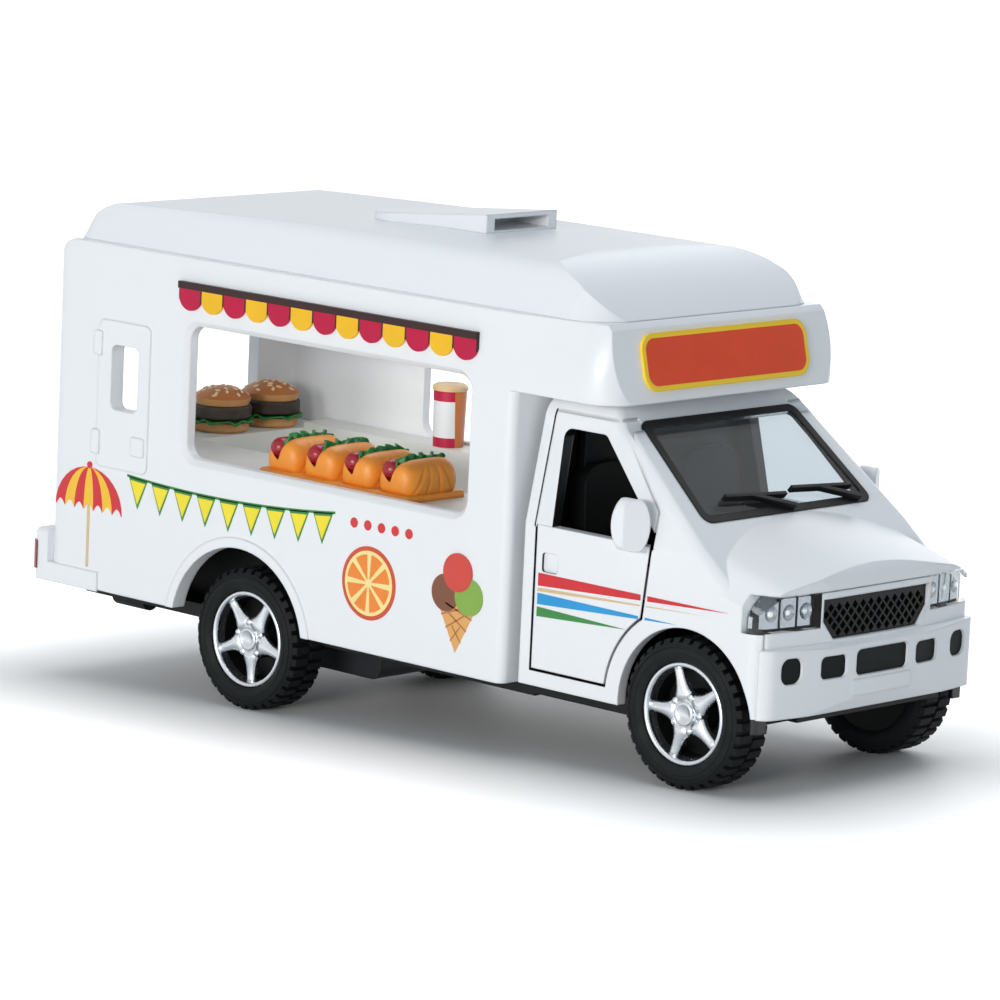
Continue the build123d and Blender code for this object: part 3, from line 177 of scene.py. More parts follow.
# Materials
class Shader:
    """A material under construction: its nodes, and short ways to add and join them."""

    NOISE_LOW = 0.3
    NOISE_HIGH = 0.7
    RELIEF_STRENGTH = 0.6
    RELIEF_DETAIL = 2.0
    BEVEL_SAMPLES = 4

    def __init__(self, name):
        self.material = bpy.data.materials.new(name)
        self.material.use_nodes = True
        self.tree = self.material.node_tree
        self.principled = self.tree.nodes["Principled BSDF"]
        coordinates = self.add("ShaderNodeTexCoord")
        self.place = coordinates.outputs["Object"]
        self.normal = coordinates.outputs["Normal"]

    def add(self, kind, **settings):
        node = self.tree.nodes.new(kind)
        for key, value in settings.items():
            setattr(node, key, value)
        return node

    def join(self, output, socket):
        self.tree.links.new(output, socket)

    def math(self, operation, first, second=None):
        node = self.add("ShaderNodeMath", operation=operation)
        for index, value in enumerate((first, second)):
            if isinstance(value, (int, float)):
                node.inputs[index].default_value = value
            elif value is not None:
                self.join(value, node.inputs[index])
        return node.outputs[0]

    def noise(self, scale, detail=3.0):
        node = self.add("ShaderNodeTexNoise")
        node.inputs["Scale"].default_value = scale
        node.inputs["Detail"].default_value = detail
        self.join(self.place, node.inputs["Vector"])
        return node.outputs["Fac"]

    def facing(self, centre):
        """Above zero where a face looks away from a point of the body frame, below where it looks to it."""
        spot = self.add("ShaderNodeVectorMath", operation="SUBTRACT")
        self.join(self.place, spot.inputs[0])
        spot.inputs[1].default_value = BODY @ Vector(centre)
        dot = self.add("ShaderNodeVectorMath", operation="DOT_PRODUCT")
        self.join(spot.outputs[0], dot.inputs[0])
        self.join(self.normal, dot.inputs[1])
        return dot.outputs["Value"]

    def measure(self, direction, start):
        """Distance in millimetres from a point of the body frame, along a direction."""
        dot = self.add("ShaderNodeVectorMath", operation="DOT_PRODUCT")
        self.join(self.place, dot.inputs[0])
        dot.inputs[1].default_value = direction
        origin = (BODY @ Vector(start)).dot(Vector(direction))
        return self.math("MULTIPLY", self.math("SUBTRACT", dot.outputs["Value"], origin), 1 / MM)

    def mix(self, factor, first, second):
        """Colours are tuples or outputs."""
        node = self.add("ShaderNodeMix", data_type="RGBA")
        self.join(factor, node.inputs["Factor"])
        for key, value in (("A", first), ("B", second)):
            socket = [s for s in node.inputs if s.name == key and s.type == "RGBA"][0]
            if isinstance(value, tuple):
                socket.default_value = linear(value)
            else:
                self.join(value, socket)
        return [s for s in node.outputs if s.type == "RGBA"][0]

    def cloudy(self, colour, low, high, scale=160, detail=4.0):
        """A colour that drifts between two shades of itself."""
        return self.mix(self.noise(scale, detail), shade(colour, low), shade(colour, high))

    def spread(self, value, low, high):
        """Carry a noise onto a range."""
        node = self.add("ShaderNodeMapRange")
        self.join(value, node.inputs["Value"])
        node.inputs["From Min"].default_value = self.NOISE_LOW
        node.inputs["From Max"].default_value = self.NOISE_HIGH
        node.inputs["To Min"].default_value = low
        node.inputs["To Max"].default_value = high
        return node.outputs["Result"]

    def colour(self, output):
        self.join(output, self.principled.inputs["Base Color"])

    def gloss(self, low, high, scale=250):
        self.join(self.spread(self.noise(scale), low, high), self.principled.inputs["Roughness"])

    def relief(self, grain, depth, round_edge=0.0):
        """Fine bumps of a depth in millimetres, with edges that catch the light."""
        bump = self.add("ShaderNodeBump")
        bump.inputs["Strength"].default_value = self.RELIEF_STRENGTH
        bump.inputs["Distance"].default_value = depth * MM
        self.join(self.noise(grain, self.RELIEF_DETAIL), bump.inputs["Height"])
        if round_edge:
            bevel = self.add("ShaderNodeBevel", samples=self.BEVEL_SAMPLES)
            bevel.inputs["Radius"].default_value = round_edge * MM
            self.join(bevel.outputs["Normal"], bump.inputs["Normal"])
        self.join(bump.outputs["Normal"], self.principled.inputs["Normal"])

    def set(self, **values):
        for key, value in values.items():
            self.principled.inputs[key.replace("_", " ")].default_value = value


def plastic(name, colour, rough, mottle, grain, depth, edge=0.0, coat=0.0, shine=0.5):
    """Moulded or painted surface with slight cloudiness, uneven gloss and fine relief."""
    shader = Shader(name)
    shader.colour(shader.cloudy(colour, 1 - mottle, 1 + mottle))
    shader.gloss(*rough)
    shader.relief(grain, depth, edge)
    shader.set(Coat_Weight=coat, Coat_Roughness=0.12, Specular_IOR_Level=shine)
    return shader.material


def cast_paint():
    """White outside, black on faces that look into the cab and on the foot of the wings below the bumper."""
    shader = Shader("white_paint")
    white = shader.cloudy(WHITE, 0.996, 1.004)
    black = shader.cloudy(BLACK, 0.9, 1.1)
    inside = shader.math("LESS_THAN", shader.facing(CAB_MIDDLE), 0.0)
    ahead = shader.math("GREATER_THAN", shader.measure(FORWARD, (WING_FOOT_REAR, 0, FASCIA_LOW)), 0.0)
    below = shader.math("LESS_THAN", shader.measure(UPWARD, (NOSE, 0, FASCIA_LOW)), 0.0)
    foot = shader.math("MULTIPLY", ahead, below)
    shader.colour(shader.mix(shader.math("MAXIMUM", inside, foot), white, black))
    shader.gloss(0.28, 0.32)
    shader.relief(grain=900, depth=0.001, round_edge=0.3)
    return shader.material


def sign_print():
    """An orange-red panel with an even yellow border that follows its round corners."""
    shader = Shader("sign_paint")
    slope = (BODY.to_3x3() @ Vector((-math.sin(SIGN_LEAN), 0, math.cos(SIGN_LEAN)))).normalized()
    reach = []
    for direction, half in zip((LEFTWARD, tuple(slope)), SIGN_HALF):
        away = shader.math("ABSOLUTE", shader.measure(direction, SIGN_MIDDLE))
        beyond = shader.math("MAXIMUM", shader.math("SUBTRACT", away, half - SIGN_CORNER), 0.0)
        reach.append(shader.math("MULTIPLY", beyond, beyond))
    distance = shader.math("SQRT", shader.math("ADD", *reach))
    border = shader.math("GREATER_THAN", distance, SIGN_CORNER - SIGN_BORDER)
    red = shader.cloudy(SIGN_RED, 0.95, 1.05, scale=200)
    gold = shader.cloudy(SIGN_GOLD, 0.97, 1.03, scale=200)
    shader.colour(shader.mix(border, red, gold))
    shader.gloss(0.32, 0.42)
    shader.relief(grain=800, depth=0.005, round_edge=0.12)
    shader.set(Specular_IOR_Level=0.25)
    return shader.material


def chrome(name, colour, rough):
    """Plated or plain metal."""
    shader = Shader(name)
    shader.colour(shader.cloudy(colour, 0.94, 1.04, scale=300))
    shader.gloss(*rough, scale=500)
    shader.relief(grain=700, depth=0.006, round_edge=0.12)
    shader.set(Metallic=1.0)
    return shader.material


def lamp_chrome():
    """Bright bowls with black ribs between them and a black edge round the lamp."""
    rib_from_middle = 0.43
    shader = Shader("lamp_chrome")
    across = shader.math("ABSOLUTE", shader.measure(LEFTWARD, (0, 0, 0)))
    height = shader.math("ABSOLUTE", shader.measure(UPWARD, (0, 0, LAMP_MIDDLE)))
    run = shader.math("SUBTRACT", across, LAMP_INNER + LAMP_RIM)
    cell = shader.math("FRACT", shader.math("DIVIDE", run, LAMP_CELL))
    from_middle = shader.math("ABSOLUTE", shader.math("SUBTRACT", cell, 0.5))
    rib = shader.math("GREATER_THAN", from_middle, rib_from_middle)
    edge = shader.math("GREATER_THAN", height, LAMP_HALF - LAMP_EDGE)
    bright = shader.mix(shader.noise(scale=300, detail=4.0), LAMP_DIM, LAMP_BRIGHT)
    shader.colour(shader.mix(shader.math("MAXIMUM", rib, edge), bright, LAMP_BLACK))
    shader.gloss(0.08, 0.16, scale=500)
    shader.relief(grain=700, depth=0.004)
    shader.set(Metallic=1.0)
    return shader.material


def clear(name, colour, ior):
    """A clear moulding with a slight tint."""
    shader = Shader(name)
    shader.colour(shader.cloudy(colour, 0.97, 1.02, scale=120, detail=3.0))
    shader.gloss(0.0, 0.02, scale=200)
    shader.relief(grain=400, depth=0.003)
    shader.set(Transmission_Weight=0.97, IOR=ior)
    return shader.material


def valance_cloth():
    """Crimson and yellow tongues in turn, dark between them, under a brown rail."""
    tongue_half = 0.465
    shader = Shader("awning_stripes")
    pitch = (VALANCE_FRONT - VALANCE_REAR) / VALANCE_COUNT
    run = shader.math("DIVIDE", shader.measure(FORWARD, (VALANCE_REAR, 0, VALANCE_TOP)), pitch)
    odd = shader.math("MODULO", shader.math("FLOOR", run), 2.0)
    from_middle = shader.math("ABSOLUTE", shader.math("SUBTRACT", shader.math("FRACT", run), 0.5))
    above = shader.measure(UPWARD, (0, 0, VALANCE_TOP - RAIL_HEIGHT))
    red = shader.cloudy(CRIMSON, 0.92, 1.08, scale=180)
    gold = shader.cloudy(YELLOW, 0.94, 1.04, scale=180)
    cloth = shader.mix(odd, red, gold)
    cloth = shader.mix(shader.math("GREATER_THAN", from_middle, tongue_half), cloth, RAIL_BROWN)
    shader.colour(shader.mix(shader.math("GREATER_THAN", above, 0.0), cloth, RAIL_BROWN))
    shader.gloss(0.34, 0.46)
    shader.relief(grain=800, depth=0.012, round_edge=0.15)
    shader.set(Specular_IOR_Level=0.25)
    return shader.material


def cup_print():
    """White cup with crimson bands, one side orange from top to bottom, and a tan lid."""
    shader = Shader("cup_print")
    height = shader.measure(UPWARD, (0, 0, LEFT_COUNTER_TOP))
    aside = shader.measure(CUP_SIDE, (*CUP_PLACE, LEFT_COUNTER_TOP))
    low = shader.math("LESS_THAN", height, CUP_LOW_BAND)
    high = shader.math("GREATER_THAN", height, CUP_HEIGHT - CUP_HIGH_BAND)
    side = shader.math("GREATER_THAN", aside, CUP_SIDE_START)
    lid = shader.math("GREATER_THAN", height, CUP_HEIGHT - CUP_LID)
    paper = shader.cloudy(WHITE, 0.95, 1.0, scale=200)
    body = shader.mix(shader.math("MAXIMUM", low, high), paper, CRIMSON)
    body = shader.mix(side, body, CUP_ORANGE)
    shader.colour(shader.mix(lid, body, TAN))
    shader.gloss(0.3, 0.45)
    shader.relief(grain=900, depth=0.01)
    return shader.material


def baked(name, top, under, depth):
    """Painted food, browner on top than underneath, with a fine crumb."""
    shader = Shader(name)
    geometry = shader.add("ShaderNodeNewGeometry")
    split = shader.add("ShaderNodeSeparateXYZ")
    shader.join(geometry.outputs["Normal"], split.inputs[0])
    up = shader.spread(split.outputs["Z"], 0.0, 1.0)
    crust = shader.cloudy(top, 0.86, 1.1, scale=420, detail=5.0)
    side = shader.cloudy(under, 0.94, 1.06, scale=420, detail=5.0)
    shader.colour(shader.mix(up, side, crust))
    shader.gloss(0.34, 0.5, scale=500)
    shader.relief(grain=1400, depth=depth)
    return shader.material


def rubber():
    """Soft black rubber, slightly dusty."""
    shader = Shader("tyre_rubber")
    shader.colour(shader.cloudy(TYRE, 0.75, 1.12, scale=260, detail=5.0))
    shader.gloss(0.58, 0.72, scale=400)
    shader.relief(grain=1500, depth=0.02, round_edge=0.1)
    shader.set(Specular_IOR_Level=0.2)
    return shader.material


materials = {
    "white_body": plastic(
        "white_body", WHITE, rough=(0.3, 0.33), mottle=0.004, grain=900, depth=0.001, edge=0.35),
    "white_paint": cast_paint(),
    "black_plastic": plastic(
        "black_plastic", BLACK, rough=(0.4, 0.52), mottle=0.12, grain=1600, depth=0.015,
        edge=0.15, shine=0.2),
    # Darkened grey: painted shade under the truck
    "grey_plastic": plastic(
        "grey_plastic", GREY_WITH_PAINTED_SHADE, rough=(0.42, 0.52), mottle=0.05, grain=1200, depth=0.012,
        edge=0.2, shine=0.25),
    "pale_grey_plastic": plastic(
        "pale_grey_plastic", KITCHEN, rough=(0.34, 0.46), mottle=0.02, grain=1000, depth=0.01, edge=0.2),
    "awning_paint": valance_cloth(),
    "sign_paint": sign_print(),
    "red_lamp": plastic(
        "red_lamp", LAMP_RED, rough=(0.12, 0.2), mottle=0.08, grain=600, depth=0.008, edge=0.15, coat=0.5),
    "orange_plastic": baked("roll_orange", shade(ROLL, 0.95), shade(ROLL, 1.02), depth=0.012),
    "red_food": plastic("sausage_red", SAUSAGE, rough=(0.22, 0.34), mottle=0.1, grain=700, depth=0.03),
    "bun_food": baked("bun_brown", BUN, BUN_UNDER, depth=0.03),
    "patty_food": plastic("patty_brown", PATTY, rough=(0.45, 0.6), mottle=0.3, grain=900, depth=0.12),
    "green_food": plastic("leaf_green", LEAF, rough=(0.32, 0.46), mottle=0.2, grain=700, depth=0.05),
    "cup_print": cup_print(),
    "clear_lens": clear("lens_clear", LENS, ior=1.1),
    "bright_chrome": chrome("rim_chrome", CHROME, rough=(0.22, 0.32)),
    "steel": chrome("plain_steel", STEEL, rough=(0.28, 0.38)),
    "tyre_rubber": rubber(),
}
by_node = {
    "windscreen": clear("screen_smoky", SCREEN, ior=1.3),
    "headlamp_reflectors": lamp_chrome(),
}
slot_of = {part["node"]: part["material_slot"] for part in frame["record"]["subparts"]}
for name, node in nodes.items():
    node.data.materials.clear()
    node.data.materials.append(by_node.get(name, materials[slot_of[name]]))


# Pieces
def finish_piece(name, mesh_maker, material, body="truck", frame_matrix=BODY, smooth=False):
    """Build a mesh in millimetres, put it in place and let it ride on a body."""
    build = bmesh.new()
    mesh_maker(build)
    bmesh.ops.recalc_face_normals(build, faces=build.faces)
    mesh = bpy.data.meshes.new(name)
    build.to_mesh(mesh)
    build.free()
    mesh.transform(frame_matrix)
    mesh.polygons.foreach_set("use_smooth", [smooth] * len(mesh.polygons))
    mesh.materials.append(material)
    piece = bpy.data.objects.new(name, mesh)
    bpy.context.scene.collection.objects.link(piece)
    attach(piece, body)
    return piece


def slab(build, outline, surface, low, high):
    """A closed slab over a flat outline; surface turns (u, v, height) into a point."""
    tube(build, [[surface(u, v, height) for u, v in outline] for height in (low, high)])


def tube(build, sections, closed=False):
    """Join rings of points; an open tube gets both its ends closed."""
    rings = [[build.verts.new(point) for point in section] for section in sections]
    for first, second in zip(rings, rings[1:] + rings[:1] if closed else rings[1:]):
        for step in range(len(first)):
            after = (step + 1) % len(first)
            build.faces.new((first[step], first[after], second[after], second[step]))
    if not closed:
        build.faces.new(rings[0])
        build.faces.new(rings[-1])


def lathe(build, profile, count, point):
    """Turn a profile of (radius, height) that starts and ends on the axis into a closed mesh."""
    first = build.verts.new(point(0, 0, profile[0][1]))
    last = build.verts.new(point(0, 0, profile[-1][1]))
    loops = [[build.verts.new(point(r, turn, out)) for turn in full_turn(count)] for r, out in profile[1:-1]]
    for index in range(count):
        after = (index + 1) % count
        build.faces.new((first, loops[0][after], loops[0][index]))
        build.faces.new((last, loops[-1][index], loops[-1][after]))
        for inner, outer in zip(loops, loops[1:]):
            build.faces.new((inner[index], inner[after], outer[after], outer[index]))


def full_turn(count):
    """Evenly spaced angles once round."""
    return [2 * math.pi * index / count for index in range(count)]


def side_of(half, sign):
    """The flat side wall at y = sign times half, with heights outwards."""
    return lambda u, v, height: (u, sign * (half + height), v)


def circle(x, z, radius, count=36, start=0.0, sweep=360.0):
    """Points of a circle, or of an arc with both its ends."""
    steps = count if sweep >= 360 else count - 1
    angles = [math.radians(start + sweep * index / steps) for index in range(count)]
    return [(x + radius * math.cos(a), z + radius * math.sin(a)) for a in angles]


def rounded(half_width, half_height, radius, count=8):
    """A rectangle with round corners about the origin."""
    points = []
    for corner, (sx, sz) in enumerate(((1, 1), (-1, 1), (-1, -1), (1, -1))):
        centre = (sx * (half_width - radius), sz * (half_height - radius))
        points += circle(centre[0], centre[1], radius, count, 90 * corner, 90)
    return points


INK_THICK = 0.05
INK_SINK = 0.02
ink = {}


def printed(key):
    """Ink on the body's gloss, one material per colour."""
    if key not in ink:
        ink[key] = plastic(
            "ink_" + key, INKS[key], rough=(0.28, 0.4), mottle=0.05, grain=1300, depth=0.006)
    return ink[key]


def draw(name, key, outlines, surface, layer, body="truck"):
    """Several outlines of one colour as one printed piece; higher layers lie on lower ones."""
    def make(build):
        for outline in outlines:
            slab(build, outline, surface, -INK_SINK, INK_THICK * layer)
    finish_piece(name, make, printed(key), body)


# Printed designs on the box walls: a parasol, a string of pennants, dots, a citrus slice and an ice cream
PARASOL = (-28.6, 10.4)
PARASOL_RADIUS = 6.4
PARASOL_RISE = 0.9 * PARASOL_RADIUS
GORES = 7
GORE_FOOT = 0.9
RIB_STEPS = 8
FOOT_STEPS = 6
POLE_LENGTH = 7.6
POLE_HALF = 0.25
POLE_TOP = 1.0
KNOB_RADIUS = 0.45
KNOB_LIFT = 0.3
PENNANTS = 9
PENNANT_GAP = 0.08
PENNANT_DROP = 4.1
PENNANT_EDGE = 0.09
EDGE_BELOW_STRING = 5.0
EDGE_ABOVE_TIP = 7.0
STRING_START = (-21.4, 16.1)
STRING_END = (17.0, 16.9)
STRING_SAG = 0.9
STRING_WIDTH = 0.35
STRING_STEPS = 24
DOTS = 5
DOT_START = (20.4, 16.2)
DOT_PITCH = 2.4
DOT_RADIUS = 0.65
SLICE = (23.4, 8.9)
SLICE_RADIUS = 4.7
PITH_SHARE = 0.88
FLESH_SHARE = 0.78
SEGMENTS = 8
SEGMENT_GAP = 6
SEGMENT_POINT = 0.5
CONE_TIP = (38.7, 2.6)
CONE_HALF = 3.4
CONE_TOP = 8.8
WAFFLE_LINES = 3
WAFFLE_CLIMB = 0.3
WAFFLE_REACH = 0.75
WAFFLE_DROP = 0.02
WAFFLE_THICK = (0.22, 0.23)
SCOOPS = (
    # ink, distance from the cone's middle, height, radius
    ("brown", -2.0, 9.9, 2.35),
    ("leaf", 2.0, 9.9, 2.35),
    ("rose", 0.0, 12.7, 2.45),
)


def parasol_pole():
    x, z = PARASOL
    low, high = z - POLE_LENGTH, z + POLE_TOP
    return [(x - POLE_HALF, low), (x + POLE_HALF, low), (x + POLE_HALF, high), (x - POLE_HALF, high)]


def parasol_gore(index):
    """One gore of the parasol's canopy, with a round lower edge."""
    x, z = PARASOL
    edges = [x - PARASOL_RADIUS + 2 * PARASOL_RADIUS * (index + step) / GORES for step in (0, 1)]

    def rib(edge):
        angles = [math.pi / 2 * step / RIB_STEPS for step in range(RIB_STEPS + 1)]
        return [(x + (edge - x) * math.sin(a), z + PARASOL_RISE * math.cos(a)) for a in angles]

    foot = []
    for step in range(1, FOOT_STEPS):
        share = step / FOOT_STEPS
        foot.append((edges[1] + (edges[0] - edges[1]) * share, z + GORE_FOOT * math.sin(math.pi * share)))
    return rib(edges[1]) + foot + list(reversed(rib(edges[0])))[:-1]


def string_point(share):
    """A point of the sagging string."""
    x, z = (start + (end - start) * share for start, end in zip(STRING_START, STRING_END))
    return x, z - 4 * STRING_SAG * share * (1 - share)


def pennant_string():
    """A band of even width along the string."""
    points = [string_point(step / STRING_STEPS) for step in range(STRING_STEPS + 1)]
    upper = [(x, z + STRING_WIDTH / 2) for x, z in points]
    lower = [(x, z - STRING_WIDTH / 2) for x, z in points]
    return upper + list(reversed(lower))


def pennant(index, shrink=0.0):
    """One pennant, or the smaller one inside its edge."""
    ends = (PENNANT_GAP + shrink, 1 - PENNANT_GAP - shrink)
    left, right = (string_point((index + share) / PENNANTS) for share in ends)
    tip = (left[1] + right[1]) / 2 - PENNANT_DROP + EDGE_ABOVE_TIP * shrink
    drop = EDGE_BELOW_STRING * shrink
    return [(left[0], left[1] - drop), ((left[0] + right[0]) / 2, tip), (right[0], right[1] - drop)]


def slice_segment(index):
    """One segment of the citrus slice."""
    step = 360 / SEGMENTS
    arc = circle(*SLICE, SLICE_RADIUS * FLESH_SHARE, count=8,
                 start=step * index + SEGMENT_GAP, sweep=step - 2 * SEGMENT_GAP)
    turn = math.radians(step * (index + 0.5))
    return [(SLICE[0] + SEGMENT_POINT * math.cos(turn), SLICE[1] + SEGMENT_POINT * math.sin(turn))] + arc


def cone_lines():
    """The waffle lines of the cone, slanting both ways."""
    x, low = CONE_TIP
    height = CONE_TOP - low
    lines = []
    for index in range(1, WAFFLE_LINES + 1):
        share = index / (WAFFLE_LINES + 1)
        z = low + height * share
        top = low + height * min(1, share + WAFFLE_CLIMB)
        for sign in (-1, 1):
            near = x + sign * CONE_HALF * share
            far = x - sign * CONE_HALF * share * WAFFLE_REACH
            lines.append([(near, z), (far, top - WAFFLE_DROP), (far, top - WAFFLE_DROP - WAFFLE_THICK[1]),
                          (near, z - WAFFLE_THICK[0])])
    return lines


WALL_PRINTS = [
    # name, ink, layer, outlines
    ("parasol_pole", "tan", 1, [parasol_pole()]),
    ("parasol_red", "crimson", 2, [parasol_gore(index) for index in range(0, GORES, 2)]),
    ("parasol_gold", "gold", 2, [parasol_gore(index) for index in range(1, GORES, 2)]),
    ("parasol_knob", "crimson", 3,
     [circle(PARASOL[0], PARASOL[1] + PARASOL_RISE + KNOB_LIFT, KNOB_RADIUS, count=16)]),
    ("pennant_edges", "green", 1, [pennant(index) for index in range(PENNANTS)] + [pennant_string()]),
    ("pennants", "lemon", 2, [pennant(index, PENNANT_EDGE) for index in range(PENNANTS)]),
    ("dots", "red", 1,
     [circle(DOT_START[0] + DOT_PITCH * index, DOT_START[1], DOT_RADIUS, count=20) for index in range(DOTS)]),
    ("slice_rind", "rust", 1, [circle(*SLICE, SLICE_RADIUS, count=48)]),
    ("slice_pith", "cream", 2, [circle(*SLICE, SLICE_RADIUS * PITH_SHARE, count=48)]),
    ("slice_flesh", "orange", 3, [slice_segment(index) for index in range(SEGMENTS)]),
    ("cone", "waffle", 1,
     [[CONE_TIP, (CONE_TIP[0] + CONE_HALF, CONE_TOP), (CONE_TIP[0] - CONE_HALF, CONE_TOP)]]),
    ("cone_lines", "waffle_dark", 2, cone_lines()),
]
for layer, (key, aside, height, radius) in enumerate(SCOOPS, 2):
    WALL_PRINTS.append(("scoop_" + key, key, layer, [circle(CONE_TIP[0] + aside, height, radius, count=32)]))
for side, sign in SIDES:
    for name, key, layer, outlines in WALL_PRINTS:
        draw("print_%s_%s" % (name, side), key, outlines, side_of(BOX_HALF, sign), layer)


# Straight tapered stripes across the door and the wing
STRIPES = (
    # ink, height at the door's rear edge, thickness there, tip
    ("crimson", 12.8, 1.6, 81.0),
    ("tan", 12.1, 0.45, 77.5),
    ("blue", 10.5, 1.4, 73.0),
    ("green", 9.0, 1.2, 65.0),
)
STRIPE_START = DOOR_REAR + 0.5
STRIPE_CLIMB = 0.05
STRIPE_BEFORE_SEAM = 0.35
STRIPE_AFTER_SEAM = 0.75


def stripe_outline(low, thick, tip, begin, end):
    """A stretch of a stripe, which narrows to a point at its tip."""
    def lower(x):
        return low + STRIPE_CLIMB * (x - STRIPE_START)

    def upper(x):
        return lower(x) + thick * (tip - x) / (tip - STRIPE_START)

    far = [(end, lower(end)), (end, upper(end))] if end < tip else [(tip, lower(tip))]
    return [(begin, lower(begin)), *far, (begin, upper(begin))]


for side, sign in SIDES:
    wall = side_of(CAB_HALF, sign)
    for key, low, thick, tip in STRIPES:
        level = low + STRIPE_CLIMB * (DOOR_FRONT - STRIPE_START)
        seam = DOOR_FRONT + DOOR_SLOPE * (level - BELT)
        on_door = stripe_outline(low, thick, tip, STRIPE_START, min(seam - STRIPE_BEFORE_SEAM, tip))
        draw("print_stripe_%s_door_%s" % (key, side), key, [on_door], wall, 1, "door_" + side)
        if seam - STRIPE_BEFORE_SEAM < tip:
            on_wing = stripe_outline(low, thick, tip, seam + STRIPE_AFTER_SEAM, tip)
            draw("print_stripe_%s_wing_%s" % (key, side), key, [on_wing], wall, 1)


# Burgers: seeds on the buns and lettuce under the patties
BURGERS = ((-30.35, 12.6), (-30.35, 3.4))
BUN_FOOT = 1.3
LEAF_ROOM = 0.5
PATTY_HEIGHT = 1.9
BUN_TOP = COUNTER_TOP + BUN_FOOT + LEAF_ROOM + PATTY_HEIGHT
BUN_RADIUS = 4.0
BUN_HIGH = 2.4
BUN_EDGE = 0.9
SEEDS = 26
SEED_REACH = 3.5
SEED_TURN = 2.39996
SEED_STRAY = 0.3
SEED_SIZE = (0.42, 0.24, 0.14)
LETTUCE_RADII = (3.4, 3.9, 4.35)
LETTUCE_LIFTS = (0.08, 0.34)
LETTUCE_WAVES = (
    # size, waves round the burger, shift from one burger to the next
    (0.2, 9, 1),
    (0.12, 14, 2),
)
LETTUCE_FRILL = 0.12
LETTUCE_FRILLS = 11
LETTUCE_STEPS = 96


def make_seeds(build):
    """Pale seeds scattered on the domes of the buns, each lying flat on the crust."""
    draw_from = random.Random(7)
    dome = (BUN_RADIUS ** 2 + (BUN_HIGH - BUN_EDGE) ** 2) / (2 * (BUN_HIGH - BUN_EDGE))
    for x, y in BURGERS:
        for index in range(SEEDS):
            reach = SEED_REACH * math.sqrt((index + 0.5) / SEEDS)
            turn = index * SEED_TURN + draw_from.uniform(-SEED_STRAY, SEED_STRAY)
            dx = reach * math.cos(turn)
            dy = reach * math.sin(turn)
            above_centre = math.sqrt(dome ** 2 - reach ** 2)
            normal = Vector((dx, dy, above_centre)).normalized()
            lie = normal.to_track_quat("Z", "Y").to_matrix().to_4x4()
            spin = Matrix.Rotation(draw_from.uniform(0, math.pi), 4, "Z")
            place = Matrix.Translation((x + dx, y + dy, BUN_TOP + BUN_HIGH - dome + above_centre))
            size = Matrix.Diagonal((*SEED_SIZE, 1))
            bmesh.ops.create_icosphere(build, subdivisions=2, radius=1, matrix=place @ lie @ spin @ size)


def lettuce_ring(x, y, radius, lift, number):
    """One ring of a burger's lettuce; the outer rings wave up and down and in and out."""
    inner, outer = LETTUCE_RADII[0], LETTUCE_RADII[-1]
    share = (radius - inner) / (outer - inner)
    ring = []
    for turn in full_turn(LETTUCE_STEPS):
        wave = sum(size * math.sin(waves * turn + shift * number) for size, waves, shift in LETTUCE_WAVES)
        out = radius + LETTUCE_FRILL * share * math.sin(LETTUCE_FRILLS * turn + number)
        height = COUNTER_TOP + BUN_FOOT + lift + share * wave
        ring.append((x + out * math.cos(turn), y + out * math.sin(turn), height))
    return ring


def make_burger_lettuce(build):
    """A closed sheet per burger, out along its lower side and back along its upper side."""
    low, high = LETTUCE_LIFTS
    path = [(radius, low) for radius in LETTUCE_RADII]
    path += [(radius, high) for radius in reversed(LETTUCE_RADII)]
    for number, (x, y) in enumerate(BURGERS):
        tube(build, [lettuce_ring(x, y, radius, lift, number) for radius, lift in path])


seed_paint = plastic("seed_pale", SEED, rough=(0.35, 0.5), mottle=0.08, grain=1500, depth=0.01)
finish_piece("burger_seeds", make_seeds, seed_paint, smooth=True)
lettuce = finish_piece(
    "burger_lettuce", make_burger_lettuce, materials["green_food"], smooth=True)
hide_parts("burger_leaves")


# Split rolls on their tray, with round ends and creases that meet towards the top
TRAY_MIDDLE = (11.8, -12.25)
TRAY_HALF = (13.4, 5.65)
TRAY_THICK = 0.9
TRAY_CORNER = 1.0
TRAY_BEVEL = 0.2
ROLL_PITCH = 6.7
ROLL_COUNT = 4
ROLL_HALF = 4.9
ROLL_HEIGHT = 4.2
ROLL_SECTION = (
    # across the roll, height; from the front foot over the split to the rear foot
    (2.6, -0.3), (3.0, 0.1), (3.22, 1.2), (3.1, 2.4), (2.6, 3.45), (1.7, 4.1), (0.95, 4.2), (0.52, 3.85),
    (0.42, 3.0), (0.25, 2.0), (-0.9, 1.5), (-2.1, 2.0), (-2.25, 2.7), (-2.5, 3.0), (-2.85, 2.7), (-3.1, 1.6),
    (-3.0, 0.2), (-2.6, -0.3),
)
ROLL_CURVE_STEPS = 3
ROLL_STATIONS = 72
ROLL_END = (-0.2, 1.2)
ROLL_END_SIZE = 0.02
ROLL_SQUARENESS = 4
CREASES = (-3.6, -1.5, 0.9, 3.2)
CREASE_DEPTH = 0.2
CREASE_WIDTH = 0.17
CREASE_LEAN = 0.62
CREASE_SINK = 0.4
CREASE_START = 0.12
CREASE_RISE = 0.95
CREASE_FADE = 0.7
CRUST_FRONT = 1.2
CRUST_REAR = -2.6
LEAF_HALF = 4.4
LEAF_THICK = 0.28
LEAF_ASIDE = 0.1
LEAF_LOW = 2.9
LEAF_HIGH = 4.6
LEAF_STEPS = 90
LEAF_DROOP = 0.9
LEAF_DROOP_POWER = 6
# size, pace along the leaf, shift from one leaf to the next
LEAF_SWAY = ((0.42, 26, 1), (0.2, 61, 2))
LEAF_RIPPLE = ((0.22, 33, 3),)


